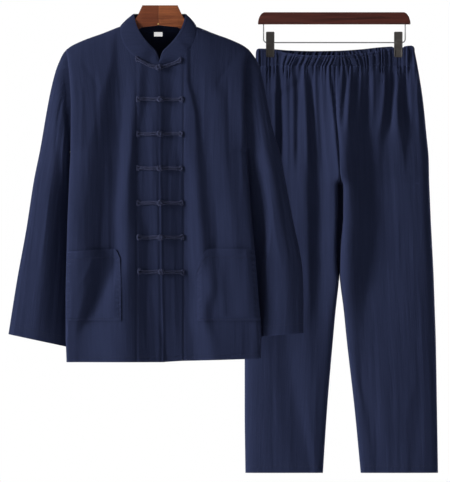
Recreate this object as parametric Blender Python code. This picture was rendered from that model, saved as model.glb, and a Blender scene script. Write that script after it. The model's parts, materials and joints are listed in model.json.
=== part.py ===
"""Tai chi uniform: a jacket on a wooden hanger, and trousers clipped to a bar hanger beside and behind it.

The front faces -Y and +Z is up. The origin is the top centre of the jacket's hanger, which holds the part up.
Right and left are the wearer's, so the right side is at -X. A "drop" is a distance below the origin, a
"share" runs from 0 at a garment's centre line to 1 at its edge, and every size is in metres.
Each cloth piece is a wall: a grid of outer points, and the same grid moved inwards by the cloth's thickness.
"""

import math

import bmesh
import bpy
import numpy as np

CLOTH = 0.0018
SEAM = 0.0003
LAID_CLEAR = 0.0006
SIDES = {"right": -1, "left": 1}
FACES = {"front": -1, "back": 1}
X, Y, Z = 0, 1, 2

NAVY = (0.020, 0.024, 0.058)
DARK_CORD = (0.017, 0.020, 0.048)
LABEL_WHITE = (0.80, 0.80, 0.80)
ORANGE_WOOD = (0.26, 0.075, 0.025)
RED_WOOD = (0.10, 0.022, 0.014)
STEEL = (0.55, 0.55, 0.56)
CLIP_GREY = (0.085, 0.080, 0.075)


def table(columns, *rows):
    """Rows of numbers under named columns. Rows that make a curve are in order of the first column."""
    return dict(zip(columns.split(), np.array(rows).T))


# Jacket body: the centre line, the edge beside each sleeve, and the shoulder line from the neck to the sleeve
CENTRE = table(
    "drop x", (0.03, -0.003), (0.137, -0.003), (0.22, 0.0), (0.35, -0.001), (0.52, 0.001), (0.82, 0.006),
)
BODY_EDGE = table(
    "drop right left",
    (0.102, -0.216, 0.205),
    (0.155, -0.209, 0.196),
    (0.233, -0.205, 0.195),
    (0.309, -0.206, 0.199),
    (0.424, -0.210, 0.206),
    (0.500, -0.213, 0.212),
    (0.578, -0.215, 0.219),
    (0.677, -0.217, 0.227),
    (0.753, -0.217, 0.233),
    (0.818, -0.215, 0.232),
)
SHOULDER = table(
    "share drop", (0, 0.030), (0.2, 0.035), (0.42, 0.049), (0.51, 0.0564), (0.62, 0.0656), (0.744, 0.0748),
    (0.852, 0.084), (0.94, 0.0932), (1, 0.1024),
)
HEM = {"centre": 0.8205, "right": 0.8205, "left": 0.8125}
CHEST_DEPTH = {"front": 0.038, "back": 0.050}
SHOULDER_FALL = {"front": 0.100, "back": 0.080}
SHOULDER_ROUND = {"front": 0.5, "back": 0.6}
EDGE_ROUND = {"front": 3.4, "back": 2.2}
FOLD_EDGE_ROUND = 6
EDGE_PULL = 8
EVEN_COLUMNS_DOWN = 0.5
SIDE_SEAM = table("drop y", (0.334, -0.006), (0.45, -0.012), (0.82, -0.012))

# Armhole: an oval from the shoulder tip down to the underarm
TIP_DROP = 0.1024
UNDERARM_DROP = 0.334
ARMHOLE_BULGE = {"front": 0.016, "back": 0.032}
UNDERARM_Y = -0.006

# Neckline and standing collar, turned from 0 at the front opening through 1 at the shoulder to 2 at the back
NECK_SHARE = 0.42
NECK_DROP = 0.049
NECK_DIP = {"front": 0.0885, "back": 0.010}
COLLAR_TOP = table(
    "turn x y drop",
    (0, 0.0003, -0.034, 0.124),
    (0.12, 0.0075, -0.033, 0.106),
    (0.25, 0.019, -0.0325, 0.0945),
    (0.5, 0.034, -0.031, 0.0785),
    (0.75, 0.049, -0.024, 0.0565),
    (0.9, 0.0570, -0.012, 0.036),
    (1, 0.0600, 0.0, 0.0195),
    (1.5, 0.044, 0.021, 0.0195),
    (2, 0.0, 0.031, 0.0205),
)
COLLAR_TOP_MID_X = -0.001
COLLAR_BOW = 0.0025

# Sleeves: the outer outline, the underarm line, and the section from the armhole, 0, to the cuff, 1
SLEEVE_OUTLINE = {
    "right": table(
        "drop x", (0.1024, -0.2162), (0.1116, -0.2231), (0.1254, -0.230), (0.148, -0.239), (0.194, -0.251),
        (0.240, -0.260), (0.332, -0.276), (0.401, -0.290), (0.516, -0.308), (0.631, -0.329),
        (0.7565, -0.3490),
    ),
    "left": table(
        "drop x", (0.1024, 0.2047), (0.112, 0.2125), (0.125, 0.2215), (0.1415, 0.229), (0.183, 0.239),
        (0.240, 0.250), (0.293, 0.262), (0.339, 0.276), (0.4175, 0.2914), (0.4934, 0.3059), (0.5624, 0.321),
        (0.6084, 0.328), (0.68, 0.3303), (0.7535, 0.3303),
    ),
}
UNDERARM_LINE = {
    "right": table(
        "drop x", (0.334, -0.2068), (0.36, -0.2100), (0.45, -0.2085), (0.62, -0.206), (0.7865, -0.2095),
    ),
    "left": table(
        "drop x", (0.334, 0.2010), (0.36, 0.2055), (0.45, 0.2065), (0.62, 0.203), (0.765, 0.190),
    ),
}
UNDERARM_PACE = 1.3
SLEEVE_SQUARE = {"right": 1, "left": 0.4}
SLEEVE_SQUARE_START = 0.3
TUCKED = table(
    "along front start run", (0, 0.016, 0.2, 0.5), (0.2, 0.018, 0.2, 0.5), (0.45, 0.022, 0.2, 0.5),
    (0.75, 0.016, 0.2, 0.15), (1, 0.014, 0.2, 0.15),
)
SLEEVE_SECTION = {
    "right": table(
        "along outer_y inner_y front back",
        (0, 0.0, UNDERARM_Y, 0.016, 0.032),
        (0.08, 0.002, 0.001, 0.028, 0.031),
        (0.2, 0.006, 0.012, 0.035, 0.028),
        (0.45, 0.014, 0.032, 0.035, 0.021),
        (0.75, 0.019, 0.038, 0.031, 0.017),
        (1, 0.022, 0.038, 0.024, 0.014),
    ),
    "left": table(
        "along outer_y inner_y front back",
        (0, 0.0, UNDERARM_Y, 0.016, 0.032),
        (0.08, 0.003, 0.000, 0.025, 0.030),
        (0.2, 0.008, 0.008, 0.032, 0.027),
        (0.45, 0.017, 0.023, 0.040, 0.0200),
        (0.75, 0.023, 0.034, 0.048, 0.0157),
        (1, 0.026, 0.041, 0.050, 0.0127),
    ),
}

# Folds: each runs from its top to its bottom, a ridge where its height is more than 0 and a trough where less
FOLD_FADE = {"in": 0.25, "out": 0.3}

# Waves of a front: ridges r1, r2 and on with troughs t1, t2 and on between them, by place and height at each drop
JACKET_WAVES = {
    "places": table(
        "drop r1 t1 r2 t2 r3 t3 r4 t4 r5 t5",
        (0.1300, -0.1150, -0.0943, -0.0460, -0.0230, 0.0000, 0.0276, 0.0621, 0.0713, 0.1173, 0.1426),
        (0.1714, -0.1265, -0.0943, -0.0506, -0.0276, 0.0000, 0.0276, 0.0621, 0.0713, 0.1173, 0.1426),
        (0.2173, -0.1437, -0.0943, -0.0598, -0.0276, 0.0000, 0.0299, 0.0736, 0.0817, 0.1357, 0.1610),
        (0.2633, -0.1518, -0.0943, -0.0644, -0.0391, 0.0023, 0.0253, 0.0805, 0.0886, 0.1403, 0.1679),
        (0.3208, -0.1679, -0.0966, -0.0667, -0.0483, 0.0023, 0.0345, 0.0805, 0.1001, 0.1472, 0.1748),
        (0.4013, -0.1817, -0.1012, -0.0736, -0.0483, 0.0000, 0.0529, 0.0851, 0.1104, 0.1564, 0.1840),
        (0.4819, -0.1932, -0.1081, -0.0759, -0.0391, 0.0011, 0.0552, 0.0897, 0.1173, 0.1702, 0.1909),
        (0.5279, -0.1978, -0.1058, -0.0759, -0.0230, 0.0023, 0.0552, 0.0966, 0.1242, 0.1748, 0.1932),
        (0.5854, -0.1748, -0.1081, -0.0759, -0.0184, 0.0023, 0.0575, 0.1012, 0.1288, 0.1771, 0.1955),
        (0.6429, -0.1771, -0.1288, -0.0805, -0.0184, 0.0023, 0.0644, 0.1127, 0.1334, 0.1794, 0.1978),
        (0.7118, -0.1886, -0.1644, -0.0817, -0.0092, 0.0034, 0.0644, 0.1035, 0.1219, 0.1794, 0.1978),
        (0.7808, -0.2024, -0.1840, -0.0828, 0.0000, 0.0138, 0.0736, 0.1242, 0.1426, 0.1840, 0.2001),
        (0.8176, -0.2070, -0.1886, -0.0828, 0.0046, 0.0184, 0.0759, 0.1288, 0.1472, 0.1840, 0.2001),
    ),
    "heights": table(
        "drop r1 t1 r2 t2 r3 t3 r4 t4 r5 t5",
        (0.1300, 0.0039, -0.0013, 0.0020, -0.0006, 0.0000, -0.0026, 0.0013, -0.0013, 0.0000, -0.0013),
        (0.2173, 0.0117, -0.0039, 0.0046, -0.0020, 0.0000, -0.0059, 0.0013, -0.0032, 0.0032, 0.0000),
        (0.3208, 0.0156, -0.0078, 0.0052, -0.0052, -0.0020, -0.0078, 0.0013, -0.0052, 0.0020, -0.0006),
        (0.4013, 0.0169, -0.0091, 0.0059, -0.0065, -0.0039, -0.0130, 0.0000, -0.0072, 0.0006, -0.0013),
        (0.5279, 0.0169, -0.0104, 0.0065, -0.0117, -0.0091, -0.0208, -0.0026, -0.0104, 0.0013, 0.0000),
        (0.6429, 0.0104, -0.0078, 0.0104, -0.0117, -0.0104, -0.0208, -0.0013, -0.0052, 0.0000, 0.0000),
        (0.7118, 0.0039, -0.0078, 0.0117, -0.0117, -0.0111, -0.0208, -0.0026, -0.0065, -0.0013, -0.0013),
        (0.7648, -0.0091, -0.0104, 0.0117, -0.0097, -0.0117, -0.0169, -0.0013, -0.0026, -0.0026, -0.0039),
        (0.8176, -0.0104, -0.0104, 0.0117, -0.0091, -0.0117, -0.0156, 0.0000, -0.0013, -0.0026, -0.0039),
    ),
}
JACKET_BACK_FOLDS = table(
    "top_x top_drop bottom_x bottom_drop width height",
    (-0.145, 0.16, -0.150, 0.70, 0.016, 0.0045),
    (-0.100, 0.24, -0.112, 0.84, 0.018, -0.0055),
    (-0.052, 0.20, -0.060, 0.84, 0.016, 0.0050),
    (0.000, 0.28, 0.004, 0.84, 0.018, -0.0050),
    (0.050, 0.18, 0.062, 0.84, 0.016, 0.0055),
    (0.098, 0.26, 0.112, 0.76, 0.017, -0.0050),
    (0.140, 0.17, 0.152, 0.84, 0.016, 0.0045),
)

# A sleeve's folds, with places round it in degrees: 90 is the middle of its front, and 270 of its back
SLEEVE_FOLDS = {
    "right": table(
        "top_angle top_along bottom_angle bottom_along width height",
        (78, 0.12, 86, 1.15, 17, 0.0040),
        (128, 0.16, 132, 1.15, 18, -0.0030),
        (240, 0.20, 236, 1.10, 15, -0.0040),
        (285, 0.12, 292, 0.90, 14, 0.0035),
    ),
    "left": table(
        "top_angle top_along bottom_angle bottom_along width height",
        (70, 0.12, 66, 1.15, 20, 0.0045),
        (236, 0.22, 232, 1.10, 15, -0.0040),
    ),
}

# Patch pockets: share of the front's width at each corner, and the mouth that gapes at its inner corner
POCKETS = {
    "right": {"top": 0.566, "bottom": 0.7245, "inner_top": 0.415, "inner_bottom": 0.415, "outer": 0.985},
    "left": {"top": 0.5615, "bottom": 0.725, "inner_top": 0.490, "inner_bottom": 0.375, "outer": 0.985},
}
POCKET_MOUTH_SAG = {"right": 0.011, "left": 0.004}
POCKET_MOUTH_GAPE = 0.0035
POCKET_MOUTH_ROWS = (0, 0.3, 0.65)
POCKET_MOUTH_DEPTH = 0.28
POCKET_LEAST_COLUMN = 0.12
POCKET_EDGE_LIFT = 0.0008

# Seven frog closures
FROG_COUNT = 7
TOP_KNOT_DROP = 0.1426
FIRST_ROW_DROP = 0.2162
FROG_PITCH = 0.0794
KNOT_RADIUS = 0.0074
KNOT_DEPTH = 0.0052
KNOT_SEGMENTS = (10, 7)
ARM_REACH = {"right": 0.0535, "left": 0.0525}
ARM_HALF_HEIGHT = 0.0036
ARM_END_HALF_HEIGHT = 0.0066
ARM_HEIGHT = 0.0036
ARM_STATIONS = (0, 0.2, 0.45, 0.68, 0.84, 0.93, 1)
ARM_FLARE = {"start": 0.68, "run": 0.2}
ARM_SECTION = table("across crown", (-1, 0.35), (-0.5, 1), (0, 0.72), (0.5, 1), (1, 0.35))
ARM_END_CROWN = 0.65
TOP_ARM_RISE = {"right": 0.0215, "left": 0.0165}

LABEL = {"x": -0.0042, "half_width": 0.010, "drop": 0.0608, "height": 0.0098, "thickness": 0.0006}

# Trousers: the outer outlines and the inner leg lines
TROUSERS_Y = 0.0777
WAIST_SEAM_DROP = 0.138
CROTCH_DROP = 0.406
TROUSERS_HEM_DROP = 1.0765
LEGS = table(
    "drop right right_inner left_inner left",
    (0.105, 0.2208, 0.4036, 0.4036, 0.5870),
    (0.138, 0.2190, 0.4036, 0.4036, 0.5935),
    (0.217, 0.2116, 0.4050, 0.4050, 0.6060),
    (0.300, 0.2060, 0.4090, 0.4090, 0.6145),
    (0.355, 0.2013, 0.4125, 0.4125, 0.6195),
    (0.406, 0.1990, 0.4140, 0.4140, 0.6205),
    (0.493, 0.1970, 0.4140, 0.4140, 0.6242),
    (0.610, 0.1955, 0.4130, 0.4135, 0.6302),
    (0.631, 0.1955, 0.4110, 0.4160, 0.6311),
    (0.700, 0.1950, 0.4048, 0.4232, 0.6334),
    (0.769, 0.1948, 0.3984, 0.4301, 0.6357),
    (0.930, 0.1948, 0.3848, 0.4485, 0.6385),
    (1.0765, 0.1965, 0.3752, 0.4625, 0.6408),
)
WAIST_DEPTH = table(
    "share front back",
    (-1, 0, 0),
    (-0.97, 0.0044, 0.0044),
    (-0.90, 0.0050, 0.0050),
    (-0.82, 0.0046, 0.0046),
    (-0.74, 0.0054, 0.0054),
    (-0.5, 0.0120, 0.0115),
    (0, 0.0190, 0.0175),
    (0.5, 0.0115, 0.0110),
    (0.71, 0.0054, 0.0054),
    (0.793, 0.0046, 0.0046),
    (0.88, 0.0052, 0.0052),
    (0.97, 0.0046, 0.0046),
    (1, 0, 0),
)
LEG_DEPTH = table(
    "drop depth", (0.138, 0.024), (0.22, 0.029), (0.30, 0.033), (0.406, 0.034), (0.60, 0.032), (0.80, 0.027),
    (1.0765, 0.021),
)
LEG_ROUND = {"front": 3.4, "back": 2.3}
LEG_INNER_ROUND = {"front": 5.5, "back": 2.3}
PART_RUN = 0.014
LEG_FOLD_EDGE_ROUND = 5
LEG_FOLD_INNER_ROUND = 12
LEG_EVEN_COLUMNS = 0.6
WAIST_BLEND_DROP = 0.29

# Gathered waistband: its top edge dips between the clips, and leans forward where it dips
BAND_TOP = table(
    "share front back",
    (-1, 0.1055, 0.1055), (-0.985, 0.0998, 0.0998), (-0.955, 0.0982, 0.0982), (-0.82, 0.0990, 0.0990),
    (-0.6, 0.1085, 0.1022), (-0.3, 0.1140, 0.1038), (0, 0.1140, 0.1032), (0.3, 0.1097, 0.1001),
    (0.6, 0.1008, 0.0946), (0.715, 0.0965, 0.0936), (0.735, 0.0959, 0.0957), (0.852, 0.0957, 0.0957),
    (0.872, 0.0930, 0.0930), (0.955, 0.0914, 0.0914), (0.985, 0.0938, 0.0938), (1, 0.0990, 0.0990),
)
BAND_LEAN = 0.010
BAND_LEAN_START = 0.104
BAND_LEAN_RUN = 0.012
BAND_GATHERS = 72
BAND_GATHER_POINTS = 4
BAND_GATHER_HEIGHT = 0.0016
BAND_GATHER_CROWDING = 0.94
BAND_PINCHED_HEIGHT = 0.25
BAND_PINCH_RUN = 0.05
BAND_SIDE_RUN = 0.03
BAND_SIDE_TURN = 20
BAND_SIDE_ROUND = 8
CLIP_SHARES = (-0.82, 0.793)
CLIP_GRIP = 0.07

TROUSERS_WAVES = {
    "places": table(
        "drop r1 t1 r2 t2 r3 t3 r4 t4 r5 t5 r6",
        (0.1391, 0.2898, 0.3174, 0.3312, 0.3450, 0.4186, 0.4646, 0.5060, 0.5290, 0.5474, 0.5635, 0.5865),
        (0.1714, 0.2898, 0.3174, 0.3323, 0.3462, 0.4198, 0.4738, 0.5198, 0.5313, 0.5497, 0.5646, 0.5888),
        (0.2173, 0.2438, 0.2783, 0.3369, 0.3508, 0.4324, 0.4795, 0.5141, 0.5290, 0.5428, 0.5658, 0.5911),
        (0.2748, 0.2461, 0.2806, 0.3392, 0.3576, 0.4289, 0.4795, 0.5060, 0.5232, 0.5474, 0.5750, 0.6026),
        (0.3323, 0.2461, 0.2783, 0.3381, 0.3599, 0.4244, 0.4853, 0.5014, 0.5175, 0.5566, 0.5681, 0.6072),
        (0.4013, 0.2484, 0.2829, 0.3358, 0.3611, 0.4220, 0.4968, 0.5083, 0.5221, 0.5612, 0.5727, 0.6095),
        (0.4703, 0.2530, 0.2898, 0.3369, 0.3623, 0.4266, 0.5083, 0.5198, 0.5313, 0.5658, 0.5773, 0.6141),
        (0.5393, 0.2622, 0.3013, 0.3381, 0.3645, 0.4278, 0.4968, 0.5152, 0.5313, 0.5704, 0.5819, 0.6164),
        (0.6083, 0.2714, 0.3174, 0.3404, 0.3657, 0.4301, 0.4853, 0.5152, 0.5336, 0.5750, 0.5865, 0.6210),
        (0.6774, 0.2668, 0.3174, 0.3427, 0.3634, 0.4278, 0.4784, 0.5198, 0.5382, 0.5750, 0.5888, 0.6210),
        (0.7693, 0.2530, 0.2921, 0.3404, 0.3680, 0.4324, 0.4738, 0.5129, 0.5405, 0.5796, 0.5934, 0.6233),
        (0.8613, 0.2576, 0.2990, 0.3427, 0.3726, 0.4508, 0.4669, 0.5152, 0.5405, 0.5865, 0.6003, 0.6233),
        (0.9534, 0.2691, 0.3220, 0.3450, 0.3749, 0.4646, 0.4830, 0.5175, 0.5405, 0.5589, 0.5980, 0.6210),
        (1.0683, 0.2875, 0.3450, 0.3634, 0.3795, 0.4784, 0.5014, 0.5290, 0.5520, 0.5658, 0.5865, 0.6210),
    ),
    "heights": table(
        "drop r1 t1 r2 t2 r3 t3 r4 t4 r5 t5 r6",
        (0.1380, 0, 0, 0, 0, 0, 0, 0, 0, 0, 0, 0),
        (0.1943, -0.0024, -0.0048, 0, -0.0036, 0.0108, 0, 0.0012, -0.0012, 0.0012, -0.0024, 0.0012),
        (0.2748, -0.0072, -0.0132, 0, -0.0078, 0.0198, -0.0018, 0.0030, -0.0036, 0.0030, -0.0060, 0),
        (0.3323, -0.0060, -0.0114, 0.0024, -0.0072, 0.0210, -0.0072,
         -0.0036, -0.0060, -0.0018, -0.0054, -0.0012),
        (0.4013, -0.0036, -0.0096, 0.0048, -0.0060, 0.0216, -0.0108,
         -0.0096, -0.0090, -0.0060, -0.0054, -0.0018),
        (0.4703, -0.0024, -0.0090, 0.0030, -0.0078, 0.0216, -0.0096,
         -0.0090, -0.0084, -0.0060, -0.0054, -0.0018),
        (0.5393, -0.0012, -0.0078, 0, -0.0090, 0.0210, -0.0078,
         -0.0072, -0.0072, -0.0060, -0.0048, -0.0018),
        (0.6083, 0.0012, -0.0048, 0.0024, -0.0060, 0.0168, -0.0054, -0.0048, -0.0042, -0.0024, -0.0018, 0),
        (0.6774, 0.0012, -0.0012, 0.0024, -0.0036, 0.0120, -0.0024, -0.0012, 0, 0.0012, 0.0012, 0.0012),
        (0.7693, 0.0024, -0.0012, 0.0036, 0.0012, 0.0060, 0, 0.0012, 0.0012, 0.0012, 0.0012, 0.0012),
        (0.8613, 0.0024, -0.0024, 0.0024, 0.0012, 0.0036, 0, 0.0024, 0.0012, 0, -0.0012, 0),
        (0.9534, 0.0024, -0.0024, 0.0012, 0, 0.0024, 0, 0.0036, 0.0024, 0.0024, -0.0012, 0),
        (1.0683, 0.0012, -0.0024, 0, -0.0012, 0.0012, 0, 0.0024, 0.0024, 0.0024, 0, 0),
    ),
}
TROUSERS_GATHERS = table(
    "top_x top_drop bottom_x bottom_drop width height",
    (0.265, 0.130, 0.265, 0.300, 0.0052, 0.0030),
    (0.277, 0.130, 0.279, 0.300, 0.0052, -0.0030),
    (0.290, 0.130, 0.294, 0.300, 0.0052, 0.0025),
    (0.306, 0.130, 0.306, 0.300, 0.0052, 0.0025),
    (0.319, 0.130, 0.317, 0.300, 0.0052, -0.0030),
    (0.331, 0.130, 0.337, 0.300, 0.0052, 0.0030),
    (0.346, 0.130, 0.350, 0.300, 0.0052, -0.0035),
    (0.354, 0.130, 0.363, 0.300, 0.0052, 0.0025),
    (0.370, 0.130, 0.380, 0.300, 0.0052, 0.0015),
    (0.386, 0.130, 0.403, 0.300, 0.0052, 0.0030),
    (0.394, 0.130, 0.409, 0.300, 0.0052, -0.0025),
    (0.420, 0.130, 0.407, 0.300, 0.0052, 0.0025),
    (0.431, 0.130, 0.419, 0.300, 0.0052, -0.0030),
    (0.439, 0.130, 0.430, 0.300, 0.0052, 0.0030),
    (0.457, 0.130, 0.444, 0.300, 0.0052, -0.0030),
    (0.466, 0.130, 0.455, 0.300, 0.0052, 0.0020),
    (0.482, 0.130, 0.476, 0.300, 0.0052, -0.0025),
    (0.494, 0.130, 0.488, 0.300, 0.0052, 0.0025),
    (0.522, 0.130, 0.508, 0.300, 0.0052, 0.0030),
    (0.542, 0.130, 0.527, 0.300, 0.0052, -0.0035),
    (0.550, 0.130, 0.545, 0.300, 0.0052, 0.0025),
    (0.565, 0.130, 0.570, 0.300, 0.0052, -0.0030),
    (0.577, 0.130, 0.580, 0.300, 0.0052, 0.0015),
    (0.589, 0.130, 0.598, 0.300, 0.0052, 0.0020),
)
TROUSERS_BACK_FOLDS = table(
    "top_x top_drop bottom_x bottom_drop width height",
    (0.232, 0.130, 0.241, 0.34, 0.0080, 0.0040),
    (0.246, 0.130, 0.248, 0.26, 0.0060, -0.0035),
    (0.260, 0.130, 0.256, 0.27, 0.0060, 0.0035),
    (0.270, 0.130, 0.268, 0.23, 0.0050, -0.0030),
    (0.280, 0.130, 0.276, 0.22, 0.0055, 0.0030),
    (0.298, 0.130, 0.288, 0.38, 0.0080, 0.0045),
    (0.310, 0.130, 0.308, 0.34, 0.0070, -0.0045),
    (0.321, 0.130, 0.330, 0.36, 0.0075, 0.0040),
    (0.334, 0.130, 0.350, 0.38, 0.0080, -0.0050),
    (0.346, 0.130, 0.369, 0.33, 0.0085, 0.0055),
    (0.366, 0.300, 0.386, 0.72, 0.0110, 0.0060),
    (0.357, 0.130, 0.366, 0.24, 0.0055, -0.0030),
    (0.370, 0.130, 0.374, 0.25, 0.0060, 0.0030),
    (0.389, 0.130, 0.400, 0.38, 0.0080, 0.0040),
    (0.444, 0.130, 0.424, 0.38, 0.0080, 0.0045),
    (0.429, 0.130, 0.418, 0.26, 0.0060, -0.0035),
    (0.456, 0.140, 0.450, 0.28, 0.0070, -0.0040),
    (0.466, 0.130, 0.462, 0.24, 0.0065, 0.0035),
    (0.478, 0.130, 0.482, 0.24, 0.0060, -0.0030),
    (0.492, 0.130, 0.504, 0.34, 0.0090, 0.0040),
    (0.504, 0.130, 0.516, 0.24, 0.0055, -0.0030),
    (0.515, 0.130, 0.522, 0.25, 0.0060, 0.0030),
    (0.538, 0.130, 0.542, 0.27, 0.0070, 0.0035),
    (0.550, 0.130, 0.558, 0.24, 0.0055, -0.0030),
    (0.561, 0.130, 0.577, 0.28, 0.0070, 0.0035),
    (0.438, 0.300, 0.462, 0.62, 0.0170, -0.0080),
    (0.437, 0.700, 0.474, 0.92, 0.0120, -0.0050),
    (0.446, 0.740, 0.466, 1.12, 0.0090, 0.0040),
    (0.505, 0.560, 0.520, 1.12, 0.0180, 0.0045),
    (0.565, 0.700, 0.575, 1.12, 0.0180, -0.0040),
    (0.300, 0.360, 0.290, 0.90, 0.0170, 0.0045),
    (0.335, 0.620, 0.330, 1.12, 0.0140, -0.0045),
    (0.232, 0.500, 0.226, 1.12, 0.0140, 0.0035),
)

# Jacket hanger: a row for each ring of the half, from the middle to the tip; the arm lies under the shoulder
HANGER_NECK = table(
    "x top bottom half_depth squareness",
    (0, 0, 0.0460, 0.0085, 4), (0.0405, 0, 0.0505, 0.0085, 4), (0.0525, 0.0260, 0.0560, 0.0075, 3.5),
    (0.0700, 0.0480, 0.0680, 0.0085, 2.5),
)
HANGER_ARM = table(
    "share clear height half_depth squareness",
    (0.43, 0.0125, 0.0200, 0.0085, 2), (0.60, 0.0046, 0.0215, 0.0094, 2), (0.78, 0.0044, 0.0220, 0.0090, 2),
    (0.90, 0.0044, 0.0180, 0.0060, 2), (0.955, 0.0100, 0.0100, 0.0030, 2),
)
HANGER_RING_POINTS = 16

# Trouser hanger: a wooden bar, a wire under it, and two clips on the wire
BAR = {"left": 0.2254, "right": 0.5773, "top": 0.0145, "bottom": 0.0426, "end_round": 0.0165, "depth": 0.014}
BAR_EDGE_ROUND = 0.0016
WIRE_RADIUS = 0.00125
WIRE = {"left": 0.2385, "right": 0.5650, "drop": 0.0845, "corner": 0.0080}
CLIP_WIDTH = 0.0195
JAW = table(
    "down inner outer", (0, 0.0080, 0.0100), (0.012, 0.0048, 0.0070), (0.0250, 0.0016, 0.0040),
    (0.0330, 0.0040, 0.0066), (0.0410, 0.0072, 0.0098), (0.0590, 0.0066, 0.0090),
)
JAW_WIRE_DOWN = 0.0250

NECK_STEPS = 6
SHOULDER_STEPS = 6
ARMHOLE_STEPS = 8
LOWER_STEPS = (4, 3, 2)
SLEEVE_RINGS = 13
COLLAR_ROWS = 4
LEG_COLUMNS = 28
HIP_DROPS = (0.155, 0.185, 0.235, 0.315, 0.392)
LEG_DROPS = (0.53, 0.66, 0.85)


def read(rows, column, at):
    """A column of a table on a smooth curve through its rows, held level past both ends."""
    keys, values = next(iter(rows.values())), rows[column]
    rise = np.diff(values) / np.diff(keys)
    both, total = rise[:-1] * rise[1:], rise[:-1] + rise[1:]
    inner = np.where(both > 0, 2 * both / np.where(both > 0, total, 1), 0)
    slopes = np.concatenate([rise[:1], inner, rise[-1:]])
    at = np.clip(at, keys[0], keys[-1])
    row = np.clip(np.searchsorted(keys, at) - 1, 0, len(keys) - 2)
    gap = keys[row + 1] - keys[row]
    t = (at - keys[row]) / gap
    level = values[row] * (1 + 2 * t) * (1 - t) ** 2 + values[row + 1] * t * t * (3 - 2 * t)
    return level + gap * (slopes[row] * t * (1 - t) ** 2 - slopes[row + 1] * t * t * (1 - t))


def lerp(start, end, part):
    return start + (end - start) * part


def ease(part):
    """0 to 1 with level ends."""
    part = np.clip(part, 0, 1)
    return part * part * (3 - 2 * part)


def superellipse(share, power):
    """1 at share 0, falling to 0 at share 1, with a rounder shoulder for a greater power."""
    return np.clip(1 - np.abs(share) ** power, 0, 1) ** (1 / power)


def fold_height(folds, across, down):
    """The sum of the ridges and troughs at each place; every fold fades in and out along its length."""
    total = np.zeros(np.broadcast(across, down).shape)
    for top_across, top_down, bottom_across, bottom_down, width, height in zip(*folds.values()):
        part = (down - top_down) / (bottom_down - top_down)
        middle = lerp(top_across, bottom_across, part)
        fade = ease(part / FOLD_FADE["in"]) * ease((1 - part) / FOLD_FADE["out"])
        total += height * fade * np.exp(-(((across - middle) / width) ** 2))
    return total


def wave_height(waves, across, down):
    """The height of cloth that rises and falls evenly from each line of the waves to the next."""
    places, heights = waves["places"], waves["heights"]
    names = list(places)[1:]
    total = read(heights, names[0], down)
    for before, after in zip(names, names[1:]):
        start, end = read(places, before, down), read(places, after, down)
        change = read(heights, after, down) - read(heights, before, down)
        total = total + change * ease((across - start) / (end - start))
    return total


def material(name, colour, roughness, metallic=0.0):
    made = bpy.data.materials.new(name)
    made.use_nodes = True
    shader = made.node_tree.nodes["Principled BSDF"]
    shader.inputs["Base Color"].default_value = (*colour, 1)
    shader.inputs["Roughness"].default_value = roughness
    shader.inputs["Metallic"].default_value = metallic
    return made


def add(name, mesh, finish):
    """Puts a mesh in the scene as the object of one sub-part, with its faces pointing out."""
    shape = bmesh.new()
    shape.from_mesh(mesh)
    bmesh.ops.recalc_face_normals(shape, faces=shape.faces)
    shape.to_mesh(mesh)
    shape.free()
    mesh.shade_smooth()
    mesh.set_sharp_from_angle(angle=math.radians(50))
    made = bpy.data.objects.new(name, mesh)
    made.data.materials.append(finish)
    bpy.context.scene.collection.objects.link(made)
    return made


def triangles(index):
    """Each cell of the grid in two, split from its first corner to the corner across from it."""
    first, second, third, fourth = index[:-1, :-1], index[:-1, 1:], index[1:, 1:], index[1:, :-1]
    halves = np.stack([first, second, third], axis=-1), np.stack([first, third, fourth], axis=-1)
    return np.concatenate([half.reshape(-1, 3) for half in halves]).tolist()


def solid(name, finish, outer, inner, ring=False):
    """One closed body between two grids of points: both faces, and the rims that join them."""
    count = outer.shape[0] * outer.shape[1]
    index = np.arange(count).reshape(outer.shape[:2])
    if ring:
        index = np.concatenate([index, index[:, :1]], axis=1)
    rims = [index[0], index[-1]] if ring else [index[0], index[-1], index[:, 0], index[:, -1]]
    faces = triangles(index) + triangles(index + count)
    for rim in rims:
        faces += triangles(np.stack([rim, rim + count]))
    mesh = bpy.data.meshes.new(name)
    mesh.from_pydata(np.concatenate([outer.reshape(-1, 3), inner.reshape(-1, 3)]).tolist(), [], faces)
    return add(name, mesh, finish)


def unit(vectors):
    return vectors / np.maximum(np.linalg.norm(vectors, axis=-1, keepdims=True), 1e-12)


def normals(grid, inside, ring=False):
    """A unit vector at each point of a grid, square to it and pointing away from what is inside."""
    if ring:
        grid = np.concatenate([grid[:, -1:], grid, grid[:, :1]], axis=1)
    found = unit(np.cross(np.gradient(grid, axis=1), np.gradient(grid, axis=0)))
    if ring:
        grid, found = grid[:, 1:-1], found[:, 1:-1]
    return found if (found * (grid - inside)).sum() > 0 else -found


def wall(name, finish, outer, inside, ring=False, level=(), given=()):
    """A cloth wall: its inner points go square to the cloth, level on an axis where an edge meets a seam."""
    facing = normals(outer, inside, ring)
    for edge, vectors in given:
        facing[edge] = vectors
    for edge, axis in level:
        facing[edge + (axis,)] = 0
    return solid(name, finish, outer, outer - CLOTH * unit(facing), ring)


def on_grid(grid, row, column):
    """The points at whole or part rows and columns, on the same two halves that each cell is split in."""
    row, column = np.broadcast_arrays(row, column)
    top = np.clip(np.floor(row).astype(int), 0, grid.shape[0] - 2)
    start = np.clip(np.floor(column).astype(int), 0, grid.shape[1] - 2)
    down = (row - top)[..., None]
    along = (column - start)[..., None]
    first, second = grid[top, start], grid[top, start + 1]
    fourth, third = grid[top + 1, start], grid[top + 1, start + 1]
    by_second = first + along * (second - first) + down * (third - second)
    by_fourth = first + down * (fourth - first) + along * (third - fourth)
    return np.where(along > down, by_second, by_fourth)


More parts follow.
